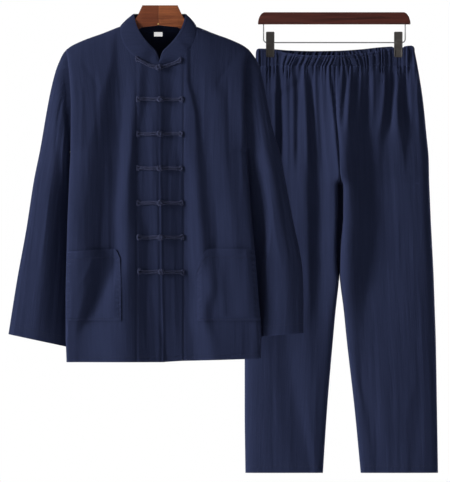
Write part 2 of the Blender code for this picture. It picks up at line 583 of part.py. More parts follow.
def find_on_grid(grid, x, drop):
    """The row and column of a front panel's grid that lie at one x and drop."""
    rows, columns = np.arange(grid.shape[0]), np.arange(grid.shape[1])
    row = column = 1.0
    for _ in range(12):
        row = np.interp(drop, -on_grid(grid, rows, np.full(len(rows), column))[:, Z], rows)
        across = on_grid(grid, np.full(len(columns), row), columns)[:, X]
        turn = 1 if across[-1] > across[0] else -1
        column = np.interp(turn * x, turn * across, columns)
    return row, column


def edge_y(face, drop):
    """The depth of the jacket body's edge: the armhole's oval, and the side seam below it."""
    middle, half = (TIP_DROP + UNDERARM_DROP) / 2, (UNDERARM_DROP - TIP_DROP) / 2
    cosine = np.clip((middle - drop) / half, -1, 1)
    axis = UNDERARM_Y * (1 - cosine) / 2
    oval = axis + FACES[face] * ARMHOLE_BULGE[face] * np.sqrt(1 - cosine**2)
    return np.where(drop > UNDERARM_DROP, read(SIDE_SEAM, "y", drop), oval)


def body_point(side, face, share, drop):
    """A point of the jacket body's outer surface."""
    centre = read(CENTRE, "x", drop) + SIDES[side] * SEAM / 2 * (face == "front")
    x = lerp(centre, read(BODY_EDGE, side, drop), share)
    fall = np.clip((drop - read(SHOULDER, "drop", share)) / SHOULDER_FALL[face], 0, 1)
    rounding = (1 - (1 - fall) ** 2) ** SHOULDER_ROUND[face]
    depth = CHEST_DEPTH[face] * superellipse(share, EDGE_ROUND[face]) * rounding
    folds = wave_height(JACKET_WAVES, x, drop) if face == "front" else fold_height(JACKET_BACK_FOLDS, x, drop)
    depth = depth + folds * rounding * superellipse(share, FOLD_EDGE_ROUND)
    y = edge_y(face, drop) * share**EDGE_PULL + FACES[face] * (depth + SEAM / 2)
    return np.stack(np.broadcast_arrays(x, y, -drop), axis=-1)


def top_line(face):
    """Share and drop along the top of half a body panel: the neckline, then the shoulder seam."""
    turn = np.linspace(0, math.pi / 2, NECK_STEPS + 1)
    shoulder = np.linspace(NECK_SHARE, 1, SHOULDER_STEPS + 1)[1:]
    share = np.concatenate([NECK_SHARE * np.sin(turn), shoulder])
    drop = np.concatenate([NECK_DROP + NECK_DIP[face] * np.cos(turn), read(SHOULDER, "drop", shoulder)])
    return share, drop


def body_grid(side, face):
    """Half a body panel: rows that meet the sleeve's first ring, then rows that meet the pocket's ends."""
    share, top = top_line(face)
    turn = np.linspace(0, math.pi, ARMHOLE_STEPS + 1)
    armhole = lerp(TIP_DROP, UNDERARM_DROP, (1 - np.cos(turn)) / 2)
    stops = (UNDERARM_DROP, POCKETS[side]["top"], POCKETS[side]["bottom"], HEM[side])
    lower = [np.linspace(*ends, steps + 1)[1:] for *ends, steps in zip(stops, stops[1:], LOWER_STEPS)]
    edge = np.concatenate([armhole, *lower])
    down = ((edge - TIP_DROP) / (HEM[side] - TIP_DROP))[:, None]
    hem = lerp(HEM["centre"], HEM[side], share)
    drop = lerp(top, hem, down)
    drop[:, -1] = edge
    even = np.linspace(0, 1, len(share))
    return body_point(side, face, lerp(share, even, ease(down / EVEN_COLUMNS_DOWN)), drop)


def build_jacket_body(cloth, collar_facing):
    neck = {"right": np.s_[0, : NECK_STEPS + 1], "left": np.s_[0, : NECK_STEPS + 1]}
    facing = {"right": collar_facing[: NECK_STEPS + 1], "left": collar_facing[: -NECK_STEPS - 2 : -1]}
    shoulder = np.s_[0, NECK_STEPS + 1 :]
    fronts = {}
    for side in SIDES:
        fronts[side] = body_grid(side, "front")
        wall(
            f"jacket_front_{side}", cloth, fronts[side], fronts[side].mean(axis=(0, 1)) * (1, 0, 1),
            level=((shoulder, Y), (np.s_[:, -1], Y), (np.s_[:, 0], X)),
            given=((neck[side], facing[side]),),
        )
    right, left = body_grid("right", "back"), body_grid("left", "back")
    back = np.concatenate([right[:, ::-1], left[:, 1:]], axis=1)
    neck_columns = np.s_[0, SHOULDER_STEPS : SHOULDER_STEPS + 2 * NECK_STEPS + 1]
    wall(
        "jacket_back", cloth, back, back.mean(axis=(0, 1)) * (1, 0, 1),
        level=(
            (np.s_[0, :SHOULDER_STEPS], Y), (np.s_[0, -SHOULDER_STEPS:], Y),
            (np.s_[:, 0], Y), (np.s_[:, -1], Y),
        ),
        given=((neck_columns, collar_facing[NECK_STEPS : 3 * NECK_STEPS + 1]),),
    )
    return fronts, back


def collar_grid():
    """The standing collar from the right front's end round the back, and the neck seam's points under it."""
    front_share, front_drop = (line[: NECK_STEPS + 1] for line in top_line("front"))
    back_share, back_drop = (line[: NECK_STEPS + 1] for line in top_line("back"))
    halves = {}
    for side, sign in SIDES.items():
        seam = np.concatenate([
            body_point(side, "front", front_share, front_drop),
            body_point(side, "back", back_share, back_drop)[-2::-1],
        ])
        seam[NECK_STEPS, Y] = 0
        turn = np.linspace(0, 2, 2 * NECK_STEPS + 1)
        top = np.stack([
            COLLAR_TOP_MID_X + sign * read(COLLAR_TOP, "x", turn), read(COLLAR_TOP, "y", turn),
            -read(COLLAR_TOP, "drop", turn),
        ], axis=-1)
        halves[side] = np.stack([seam, top])
    ends = np.concatenate([halves["right"], halves["left"][:, -2::-1]], axis=1)
    rise = unit(ends[1] - ends[0])
    away = unit((ends[0] + ends[1]) / 2 * (1, 1, 0))
    up = np.linspace(0, 1, COLLAR_ROWS)[:, None, None]
    return lerp(ends[0] + 2 * SEAM * rise, ends[1], up) + COLLAR_BOW * 4 * up * (1 - up) * away


def sleeve_grid(side):
    """Rings from the armhole to the cuff, each an oval between the outer outline and the underarm line."""
    sign, outline, line = SIDES[side], SLEEVE_OUTLINE[side], UNDERARM_LINE[side]
    along = np.linspace(0, 1, SLEEVE_RINGS)[:, None]
    outer_drop = lerp(TIP_DROP, outline["drop"][-1], along)
    inner_drop = lerp(UNDERARM_DROP, line["drop"][-1], along**UNDERARM_PACE)
    half = np.linspace(0, math.pi, ARMHOLE_STEPS + 1)
    angle = np.concatenate([half, half[1:-1] + math.pi])
    out = (1 + np.cos(angle)) / 2
    section = SLEEVE_SECTION[side]
    front = read(section, "front", along)
    if side == "left":
        fuller = ease((out - read(TUCKED, "start", along)) / read(TUCKED, "run", along))
        front = lerp(read(TUCKED, "front", along), front, fuller)
    bulge = np.where(angle < math.pi, front, read(section, "back", along))
    own_square = np.where(angle < math.pi / 2, SLEEVE_SQUARE[side], 1)
    square = lerp(1, own_square, ease(along / SLEEVE_SQUARE_START))
    folds = fold_height(SLEEVE_FOLDS[side], np.degrees(angle), along)
    depth = bulge * np.abs(np.sin(angle)) ** square + folds
    axis = lerp(read(section, "inner_y", along), read(section, "outer_y", along), out)
    drop = lerp(inner_drop, outer_drop, out)
    x = lerp(read(line, "x", inner_drop), read(outline, "x", outer_drop), out)
    y = axis + np.where(angle <= math.pi, -1, 1) * depth
    grid = np.stack(np.broadcast_arrays(x, y, -drop), axis=-1)
    grid[0, :, X] = read(BODY_EDGE, side, drop[0]) + sign * SEAM
    return grid


def build_sleeve(side, cloth):
    """The first ring's inner points stay on the armhole, clear of the body's edge."""
    grid = sleeve_grid(side)
    facing = normals(grid, grid.mean(axis=1, keepdims=True), ring=True)
    facing[0, :, X] = 0
    inner = grid - CLOTH * unit(facing)
    inner[0, :, X] = read(BODY_EDGE, side, -inner[0, :, Z]) + SIDES[side] * SEAM
    return solid(f"sleeve_{side}", cloth, grid, inner, ring=True)


def build_collar(cloth):
    grid = collar_grid()
    facing = normals(grid, grid.mean(axis=(0, 1)))
    facing[:, 0, X] = 0
    facing[:, -1, X] = 0
    facing = unit(facing)
    solid("collar", cloth, grid, grid - CLOTH * facing)
    return facing[0]


def build_pocket(side, panel, facing, cloth):
    """A patch made from the front's own points, moved out; its mouth gapes and sags at the inner corner."""
    size = POCKETS[side]
    last = panel.shape[1] - 1
    drops = -panel[:, -1, Z]
    top_row, bottom_row = np.interp((size["top"], size["bottom"]), drops, np.arange(len(drops)))
    mouth_rows = top_row + np.array(POCKET_MOUTH_ROWS)
    rows = np.concatenate([mouth_rows, np.arange(round(top_row) + 1, round(bottom_row) + 1)])
    down = (rows - top_row) / (bottom_row - top_row)
    inner_edge = lerp(size["inner_top"], size["inner_bottom"], ease(down / POCKET_MOUTH_DEPTH)) * last
    whole = np.arange(math.floor(inner_edge.min()) + 1, last)
    whole = np.maximum(whole, inner_edge[:, None] + POCKET_LEAST_COLUMN * (1 + np.arange(len(whole))))
    outer_edge = np.full((len(rows), 1), size["outer"] * last)
    columns = np.concatenate([inner_edge[:, None], whole, outer_edge], axis=1)
    rows = np.broadcast_to(rows[:, None], columns.shape)
    across = (columns - columns[:, :1]) / (columns[:, -1:] - columns[:, :1])
    mouth = ease(1 - down[:, None] / POCKET_MOUTH_DEPTH)
    gape = POCKET_MOUTH_GAPE * mouth * np.sin(math.pi * lerp(0.1, 1, across))
    out = on_grid(facing, rows, columns)
    lift = LAID_CLEAR + CLOTH + gape + POCKET_EDGE_LIFT * (1 - across) ** 6
    placed = on_grid(panel, rows, columns) + lift[..., None] * unit(out)
    placed[..., Z] -= POCKET_MOUTH_SAG[side] * mouth * (1 - across) ** 3
    return solid(f"pocket_{side}", cloth, placed, placed - CLOTH * unit(out))


def frog_drops():
    return [TOP_KNOT_DROP] + [FIRST_ROW_DROP + FROG_PITCH * row for row in range(FROG_COUNT - 1)]


def build_frog(number, drop, panels, facings, cord):
    """A flattened ball knot on the front opening, and a double cord arm sewn to each front."""
    middle = float(read(CENTRE, "x", drop))
    row, column = find_on_grid(panels["left"], middle + SEAM, drop)
    seat = on_grid(panels["left"], row, column)
    shape = bmesh.new()
    bmesh.ops.create_uvsphere(shape, u_segments=KNOT_SEGMENTS[0], v_segments=KNOT_SEGMENTS[1], radius=1)
    bmesh.ops.scale(shape, vec=(KNOT_RADIUS, KNOT_DEPTH, KNOT_RADIUS), verts=shape.verts)
    bmesh.ops.translate(shape, vec=(middle, seat[Y] - KNOT_DEPTH - SEAM, -drop), verts=shape.verts)
    mesh = bpy.data.meshes.new(f"knot_{number}")
    shape.to_mesh(mesh)
    shape.free()
    add(f"knot_{number}", mesh, cord)
    for side, sign in SIDES.items():
        rise = TOP_ARM_RISE[side] if number == 1 else 0
        build_arm(f"frog_arm_{side}_{number}", side, middle, drop, rise, panels[side], facings[side], cord)


def build_arm(name, side, middle, drop, rise, panel, facing, cord):
    """Two cords side by side, wider at the sewn end, laid on the front's own points and moved out."""
    start = KNOT_RADIUS + SEAM
    outer, inner = [], []
    for part in ARM_STATIONS:
        flare = ease((part - ARM_FLARE["start"]) / ARM_FLARE["run"])
        half_height = lerp(ARM_HALF_HEIGHT, ARM_END_HALF_HEIGHT, flare)
        x = middle + SIDES[side] * lerp(start, ARM_REACH[side], part)
        height = ARM_HEIGHT * (ARM_END_CROWN if part in (0, 1) else 1)
        for across, crown in zip(*ARM_SECTION.values()):
            row, column = find_on_grid(panel, x, drop - rise * part - half_height * across)
            base = on_grid(panel, row, column)
            out = unit(on_grid(facing, row, column))
            inner.append(base + LAID_CLEAR * out)
            outer.append(base + (LAID_CLEAR + height * crown) * out)
    shape = (len(ARM_STATIONS), len(ARM_SECTION["across"]), 3)
    return solid(name, cord, np.reshape(outer, shape), np.reshape(inner, shape))


def build_label(back, facing, finish):
    """A blank label inside the back of the neck, hung from the neck seam on the panel's inner face."""
    rows = np.arange(back.shape[0])
    middle = back.shape[1] // 2
    outer, inner = [], []
    for drop in (LABEL["drop"], LABEL["drop"] + LABEL["height"]):
        for sign in (-1, 1):
            x = LABEL["x"] + sign * LABEL["half_width"]
            near = back[:, middle - 2 : middle + 3]
            row, column = find_on_grid(near, x, drop)
            out = unit(on_grid(facing[:, middle - 2 : middle + 3], row, column))
            face = on_grid(near, row, column) - (CLOTH + 2 * SEAM) * out
            outer.append(face)
            inner.append(face - LABEL["thickness"] * out)
    return solid("neck_label", finish, np.reshape(outer, (2, 2, 3)), np.reshape(inner, (2, 2, 3)))


def leg_drops():
    hips = (WAIST_SEAM_DROP + SEAM / 2, *HIP_DROPS, CROTCH_DROP)
    return np.array([*hips, *LEG_DROPS, TROUSERS_HEM_DROP])


def leg_grid(side, face):
    """One leg panel from the waist seam to the hem: its centre seam ends at the crotch, above the inseam."""
    sign = SIDES[side]
    drop = leg_drops()[:, None]
    share = (1 - np.cos(np.linspace(0, math.pi, LEG_COLUMNS))) / 2
    share = lerp(share, np.linspace(0, 1, LEG_COLUMNS), LEG_EVEN_COLUMNS)
    inner = read(LEGS, f"{side}_inner", drop) + sign * SEAM / 2
    x = lerp(inner, read(LEGS, side, drop), share)
    parted = ease((drop - CROTCH_DROP + PART_RUN) / PART_RUN)
    own_round = np.where(share < 0.5, LEG_INNER_ROUND[face], LEG_ROUND[face])
    section = lerp(superellipse(share, LEG_ROUND[face]), superellipse(2 * share - 1, own_round), parted)
    waist = read(WAIST_DEPTH, face, sign * share)
    blend = ease((drop - WAIST_SEAM_DROP) / (WAIST_BLEND_DROP - WAIST_SEAM_DROP))
    depth = lerp(waist, read(LEG_DEPTH, "depth", drop) * section, blend)
    across = x if face == "front" else read(LEGS, "right", drop) + read(LEGS, "left", drop) - x
    edge = superellipse(2 * share - 1, np.where(share < 0.5, LEG_FOLD_INNER_ROUND, LEG_FOLD_EDGE_ROUND))
    kept = lerp(np.where(share < 0.5, 1, edge), edge, parted)
    if face == "front":
        folds = wave_height(TROUSERS_WAVES, across, drop) + fold_height(TROUSERS_GATHERS, across, drop)
    else:
        folds = fold_height(TROUSERS_BACK_FOLDS, across, drop)
    depth = depth + folds * kept
    y = TROUSERS_Y + FACES[face] * (depth + SEAM / 2)
    return np.stack(np.broadcast_arrays(x, y, -drop), axis=-1)


def build_trousers(cloth):
    """The centre seam's edges stay level on X down to the crotch, and the inseam's on Y from there."""
    crotch = 1 + len(HIP_DROPS)
    for side in SIDES:
        for face in FACES:
            grid = leg_grid(side, face)
            inside = grid.mean(axis=(0, 1))
            inside[Y] = TROUSERS_Y
            wall(
                f"trousers_{face}_{side}", cloth, grid, inside,
                level=((np.s_[:crotch, 0], X), (np.s_[crotch:, 0], Y), (np.s_[:, -1], Y), (np.s_[0, :], Z)),
            )


def waistband_grid():
    """A ring of small gathers, front then back, from the top edge to the seam with the legs."""
    count = BAND_GATHERS * BAND_GATHER_POINTS
    step = np.arange(count)
    half = count // 2
    share = np.where(step < half, -1 + 2 * step / half, 3 - 2 * step / half)
    share = np.sign(share) * np.abs(share) ** BAND_GATHER_CROWDING
    front = step < half
    to_clip = np.min([np.abs(share - clip) for clip in CLIP_SHARES], axis=0)
    height = BAND_GATHER_HEIGHT * lerp(BAND_PINCHED_HEIGHT, 1, ease((to_clip - CLIP_GRIP) / BAND_PINCH_RUN))
    height = height * ease((1 - np.abs(share)) / BAND_SIDE_RUN)
    wave = height * np.sin(2 * math.pi * step / BAND_GATHER_POINTS)
    side_sign = np.where(front, -1, 1)
    middle = (LEGS["right"][0] + LEGS["left"][0]) / 2
    rows = []
    for top in (True, False):
        drop = np.where(front, read(BAND_TOP, "front", share), read(BAND_TOP, "back", share)) if top else (
            np.full(count, WAIST_SEAM_DROP - SEAM / 2)
        )
        left, right = read(LEGS, "left", drop), read(LEGS, "right", drop)
        x = np.where(share > 0, lerp(middle, left, share), lerp(middle, right, -share))
        depth = np.where(front, read(WAIST_DEPTH, "front", share), read(WAIST_DEPTH, "back", share))
        lean = BAND_LEAN * top * front * ease((drop - BAND_LEAN_START) / BAND_LEAN_RUN)
        rows.append(np.stack([x, TROUSERS_Y + side_sign * (depth + wave + lean), -drop], axis=-1))
    return np.stack(rows)


def build_waistband(cloth):
    """Its inner points go straight back or forward, and turn sideways only at the side seams."""
    grid = waistband_grid()
    inside = np.array([(LEGS["right"][0] + LEGS["left"][0]) / 2, TROUSERS_Y, 0])
    share = np.clip((grid[..., X] - inside[X]) / (LEGS["left"][0] - inside[X]), -1, 1)
    away = np.zeros_like(grid)
    away[..., X] = np.sign(share) * np.abs(share) ** BAND_SIDE_TURN
    away[..., Y] = np.sign(grid[..., Y] - inside[Y]) * superellipse(share, BAND_SIDE_ROUND)
    return solid("waistband", cloth, grid, grid - CLOTH * unit(away), ring=True)


def hanger_rings():
    """The jacket hanger's rings from right tip to left tip: x, top, bottom, half depth, squareness."""
    halves = {}
    for side, sign in SIDES.items():
        rows = [[sign * x, *rest] for x, *rest in zip(*HANGER_NECK.values())]
        for share, clear, height, half, squareness in zip(*HANGER_ARM.values()):
            top = float(read(SHOULDER, "drop", share)) + clear
            x = lerp(float(read(CENTRE, "x", top)), float(read(BODY_EDGE, side, top)), share)
            rows.append([x, top, top + height, half, squareness])
        halves[side] = rows
    return halves["right"][::-1] + halves["left"][1:]


def build_jacket_hanger(wood):
    """A closed tube of rounded rings, with a flat cap at each tip."""
    angle = np.linspace(0, 2 * math.pi, HANGER_RING_POINTS, endpoint=False) + math.pi / HANGER_RING_POINTS
    shape = bmesh.new()
    rings = []
    for x, top, bottom, half, squareness in hanger_rings():
        across = np.sign(np.cos(angle)) * np.abs(np.cos(angle)) ** (2 / squareness)
        up = np.sign(np.sin(angle)) * np.abs(np.sin(angle)) ** (2 / squareness)
        up = up / up.max()
        ring = [(x, half * y, lerp(-bottom, -top, (1 + z) / 2)) for y, z in zip(across, up)]
        rings.append([shape.verts.new(point) for point in ring])
    for ring, after in zip(rings, rings[1:]):
        for k in range(HANGER_RING_POINTS):
            shape.faces.new((ring[k - 1], ring[k], after[k], after[k - 1]))
    shape.faces.new(rings[0])
    shape.faces.new(rings[-1])
    mesh = bpy.data.meshes.new("jacket_hanger")
    shape.to_mesh(mesh)
    shape.free()
    return add("jacket_hanger", mesh, wood)


def build_bar(wood):
    """A flat bar whose upper corners are quarter rounds, drawn as an outline and extruded to its depth."""
    height = BAR["bottom"] - BAR["top"]
    turn = np.linspace(0, math.pi / 2, 7)
    radius = BAR["end_round"]
    left = [(BAR["left"] + radius * (1 - math.cos(t)), -BAR["bottom"] + height * math.sin(t)) for t in turn]
    right = [(BAR["left"] + BAR["right"] - x, z) for x, z in reversed(left)]
    shape = bmesh.new()
    face = shape.faces.new([shape.verts.new((x, TROUSERS_Y - BAR["depth"] / 2, z)) for x, z in left + right])
    extruded = bmesh.ops.extrude_face_region(shape, geom=[face])["geom"]
    moved = [item for item in extruded if isinstance(item, bmesh.types.BMVert)]
    bmesh.ops.translate(shape, vec=(0, BAR["depth"], 0), verts=moved)
    mesh = bpy.data.meshes.new("trouser_hanger_bar")
    shape.to_mesh(mesh)
    shape.free()
    bar = add("trouser_hanger_bar", mesh, wood)
    bevel = bar.modifiers.new("round_edges", "BEVEL")
    bevel.width = BAR_EDGE_ROUND
    bevel.segments = 2
    bevel.limit_method = "ANGLE"
    bevel.angle_limit = math.radians(60)
    return bar


def build_wire(steel):
    """One bent wire: down from the bar, along under it and up again, its two ends just under the bar."""
    corner, turn = WIRE["corner"], np.linspace(0, math.pi / 2, 5)
    start = -BAR["bottom"] - SEAM
    bends = [(corner * (1 - math.cos(t)), corner * (1 - math.sin(t))) for t in turn]
    left = [(WIRE["left"] + x, z - WIRE["drop"]) for x, z in bends]
    right = [(WIRE["left"] + WIRE["right"] - x, z) for x, z in reversed(left)]
    route = [(WIRE["left"], start), *left, *right, (WIRE["right"], start)]
    curve = bpy.data.curves.new("trouser_hanger_wire", "CURVE")
    curve.dimensions = "3D"
    curve.bevel_depth = WIRE_RADIUS
    curve.bevel_resolution = 2
    curve.use_fill_caps = True
    spline = curve.splines.new("POLY")
    spline.points.add(len(route) - 1)
    for point, (x, z) in zip(spline.points, route):
        point.co = (x, TROUSERS_Y, z, 1)
    made = bpy.data.objects.new("trouser_hanger_wire", curve)
    made.data.materials.append(steel)
    bpy.context.scene.collection.objects.link(made)
    return made


def build_clips(finish):
    """Each clip is two bent jaws that meet the wire between them and grip the waistband at the bottom."""
    middle = (LEGS["right"][0] + LEGS["left"][0]) / 2
    half_width = (LEGS["left"][0] - LEGS["right"][0]) / 2
    for place, share in zip(("right", "left"), CLIP_SHARES):
        centre = middle + half_width * share
        down = JAW["down"] + WIRE["drop"] - JAW_WIRE_DOWN
        for face, sign in FACES.items():
            grids = []
            for column in ("outer", "inner"):
                grids.append(np.array([
                    [(centre + end * CLIP_WIDTH / 2, TROUSERS_Y + sign * depth, -drop) for end in (-1, 1)]
                    for depth, drop in zip(JAW[column], down)
                ]))
            solid(f"clip_{place}_{face}", finish, *grids)


def main():
    for old in list(bpy.data.objects):
        bpy.data.objects.remove(old, do_unlink=True)
    cloth = material("navy_cloth", NAVY, 0.85)
    cord = material("navy_cord", DARK_CORD, 0.8)

    collar_facing = build_collar(cloth)
    panels, back = build_jacket_body(cloth, collar_facing)
    facings = {side: normals(grid, grid.mean(axis=(0, 1)) * (1, 0, 1)) for side, grid in panels.items()}
    for side in SIDES:
        build_sleeve(side, cloth)
        build_pocket(side, panels[side], facings[side], cloth)
    for number, drop in enumerate(frog_drops(), start=1):
        build_frog(number, drop, panels, facings, cord)
    back_facing = normals(back, back.mean(axis=(0, 1)) * (1, 0, 1))
    build_label(back, back_facing, material("label_white", LABEL_WHITE, 0.7))

    build_trousers(cloth)
    build_waistband(cloth)

    build_jacket_hanger(material("orange_wood", ORANGE_WOOD, 0.4))
    build_bar(material("red_wood", RED_WOOD, 0.4))
    build_wire(material("steel_wire", STEEL, 0.3, metallic=1.0))
    build_clips(material("grey_plastic", CLIP_GREY, 0.55))


main()
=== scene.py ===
"""Looks of the tai chi uniform: every piece again on its solid's form, with finer folds, sewing and weave.

The front faces -Y, +Z is up, and sizes are in metres. Right and left are the wearer's, so right is at -X.
A "drop" is a distance below the origin, a "share" runs from 0 at a garment's centre line to 1 at its edge.
"""

import json
import math
import random
import bmesh
import bpy
import numpy as np
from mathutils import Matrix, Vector

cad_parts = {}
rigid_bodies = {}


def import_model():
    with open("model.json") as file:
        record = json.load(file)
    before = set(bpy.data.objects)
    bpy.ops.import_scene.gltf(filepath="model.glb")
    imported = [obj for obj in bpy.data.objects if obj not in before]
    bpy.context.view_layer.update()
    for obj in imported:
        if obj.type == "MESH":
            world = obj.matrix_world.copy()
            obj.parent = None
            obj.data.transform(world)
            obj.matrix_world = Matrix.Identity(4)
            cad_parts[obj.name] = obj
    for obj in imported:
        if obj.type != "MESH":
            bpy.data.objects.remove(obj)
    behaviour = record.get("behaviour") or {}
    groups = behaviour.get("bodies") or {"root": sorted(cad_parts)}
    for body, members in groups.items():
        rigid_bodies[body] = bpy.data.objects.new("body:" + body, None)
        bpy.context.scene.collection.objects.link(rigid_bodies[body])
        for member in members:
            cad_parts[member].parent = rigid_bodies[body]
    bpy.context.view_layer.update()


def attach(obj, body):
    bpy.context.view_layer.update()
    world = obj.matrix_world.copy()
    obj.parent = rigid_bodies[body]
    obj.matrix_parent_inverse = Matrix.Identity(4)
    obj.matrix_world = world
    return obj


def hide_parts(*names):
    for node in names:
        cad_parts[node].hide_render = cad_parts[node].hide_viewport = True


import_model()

CLOTH = 0.0016
# The gap between neighbours at a seam. It is under 0, so that they overlap by this much
SEAM = -0.0004
SIDES = {"right": -1, "left": 1}
FACES = {"front": -1, "back": 1}
X, Y, Z = 0, 1, 2


def table(columns, *rows):
    """Rows of numbers under named columns. Rows that make a curve are in order of the first column."""
    return dict(zip(columns.split(), np.array(rows).T))


# The form of the jacket's body, as in its solids
CENTRE = table(
    "drop x", (0.03, -0.003), (0.137, -0.003), (0.22, 0), (0.35, -0.001), (0.52, 0.001), (0.82, 0.006),
)
BODY_EDGE = table(
    "drop right left", (0.102, -0.216, 0.205), (0.155, -0.209, 0.196), (0.233, -0.205, 0.195),
    (0.309, -0.206, 0.199), (0.424, -0.21, 0.206), (0.5, -0.213, 0.212), (0.578, -0.215, 0.219),
    (0.677, -0.217, 0.227), (0.753, -0.217, 0.233), (0.818, -0.215, 0.232),
)
SHOULDER = table(
    "share drop", (0, 0.03), (0.2, 0.035), (0.42, 0.049), (0.51, 0.0564), (0.62, 0.0656), (0.744, 0.0748),
    (0.852, 0.084), (0.94, 0.0932), (1, 0.1024),
)
HEM = {"centre": 0.8205, "right": 0.8205, "left": 0.8125}
CHEST_DEPTH = {"front": 0.038, "back": 0.050}
SHOULDER_FALL = {"front": 0.100, "back": 0.080}
SHOULDER_ROUND = {"front": 0.5, "back": 0.6}
EDGE_ROUND = {"front": 3.4, "back": 2.2}
FOLD_EDGE_ROUND = 6
EDGE_PULL = 8
EVEN_COLUMNS_DOWN = 0.5
SIDE_SEAM = table("drop y", (0.334, -0.006), (0.45, -0.012), (0.82, -0.012))
TIP_DROP = 0.1024
UNDERARM_DROP = 0.334
ARMHOLE_BULGE = {"front": 0.016, "back": 0.032}
UNDERARM_Y = -0.006

# Neckline and standing collar; a turn is 0 at the front opening, 1 at the shoulder and 2 at the back
NECK_SHARE = 0.42
NECK_DROP = 0.049
NECK_DIP = {"front": 0.0885, "back": 0.010}
COLLAR_TOP = table(
    "turn x y drop", (0, 0.0003, -0.034, 0.124), (0.12, 0.0075, -0.033, 0.106),
    (0.25, 0.019, -0.0325, 0.0945), (0.5, 0.034, -0.031, 0.0785), (0.75, 0.049, -0.024, 0.0565),
    (0.9, 0.057, -0.012, 0.036), (1, 0.06, 0, 0.0195), (1.5, 0.044, 0.021, 0.0195), (2, 0, 0.031, 0.0205),
)
COLLAR_TOP_MID_X = -0.001
COLLAR_BOW = 0.0025

# Sleeves
SLEEVE_OUTLINE = {
    "right": table(
        "drop x", (0.1024, -0.2162), (0.1116, -0.2231), (0.1254, -0.23), (0.148, -0.239), (0.194, -0.251),
        (0.24, -0.26), (0.332, -0.276), (0.401, -0.29), (0.516, -0.308), (0.631, -0.329), (0.7565, -0.349),
    ),
    "left": table(
        "drop x", (0.1024, 0.2047), (0.112, 0.2125), (0.125, 0.2215), (0.1415, 0.229), (0.183, 0.239),
        (0.24, 0.25), (0.293, 0.262), (0.339, 0.276), (0.4175, 0.2914), (0.4934, 0.3059), (0.5624, 0.321),
        (0.6084, 0.328), (0.68, 0.3303), (0.7535, 0.3303),
    ),
}
UNDERARM_LINE = {
    "right": table(
        "drop x", (0.334, -0.2068), (0.36, -0.207), (0.45, -0.205), (0.62, -0.203), (0.7865, -0.2095),
    ),
    "left": table(
        "drop x", (0.334, 0.1998), (0.36, 0.2015), (0.45, 0.2035), (0.62, 0.203), (0.765, 0.19),
    ),
}
UNDERARM_PACE = 1.3
SLEEVE_SECTION = {
    "right": table(
        "along outer_y inner_y front back", (0, 0, UNDERARM_Y, 0.016, 0.032),
        (0.08, 0.002, 0.001, 0.028, 0.031), (0.2, 0.006, 0.012, 0.035, 0.028),
        (0.45, 0.014, 0.032, 0.035, 0.021), (0.75, 0.019, 0.038, 0.031, 0.017),
        (1, 0.022, 0.038, 0.024, 0.014),
    ),
    "left": table(
        "along outer_y inner_y front back", (0, 0, UNDERARM_Y, 0.016, 0.032), (0.08, 0.003, 0, 0.025, 0.03),
        (0.2, 0.008, 0.008, 0.032, 0.027), (0.45, 0.017, 0.023, 0.04, 0.02),
        (0.75, 0.023, 0.034, 0.048, 0.0157), (1, 0.026, 0.041, 0.05, 0.0127),
    ),
}

# Folds, each from its top to its bottom; a trough has a height under 0
FOLD_FADE = {"in": 0.25, "out": 0.3}
FOLD = "top_x top_drop bottom_x bottom_drop width height"
BACK_FOLDS = table(
    FOLD, (-0.145, 0.16, -0.15, 0.7, 0.016, 0.0045), (-0.1, 0.24, -0.112, 0.84, 0.018, -0.0055),
    (-0.052, 0.2, -0.06, 0.84, 0.016, 0.005), (0, 0.28, 0.004, 0.84, 0.018, -0.005),
    (0.05, 0.18, 0.062, 0.84, 0.016, 0.0055), (0.098, 0.26, 0.112, 0.76, 0.017, -0.005),
    (0.14, 0.17, 0.152, 0.84, 0.016, 0.0045),
)

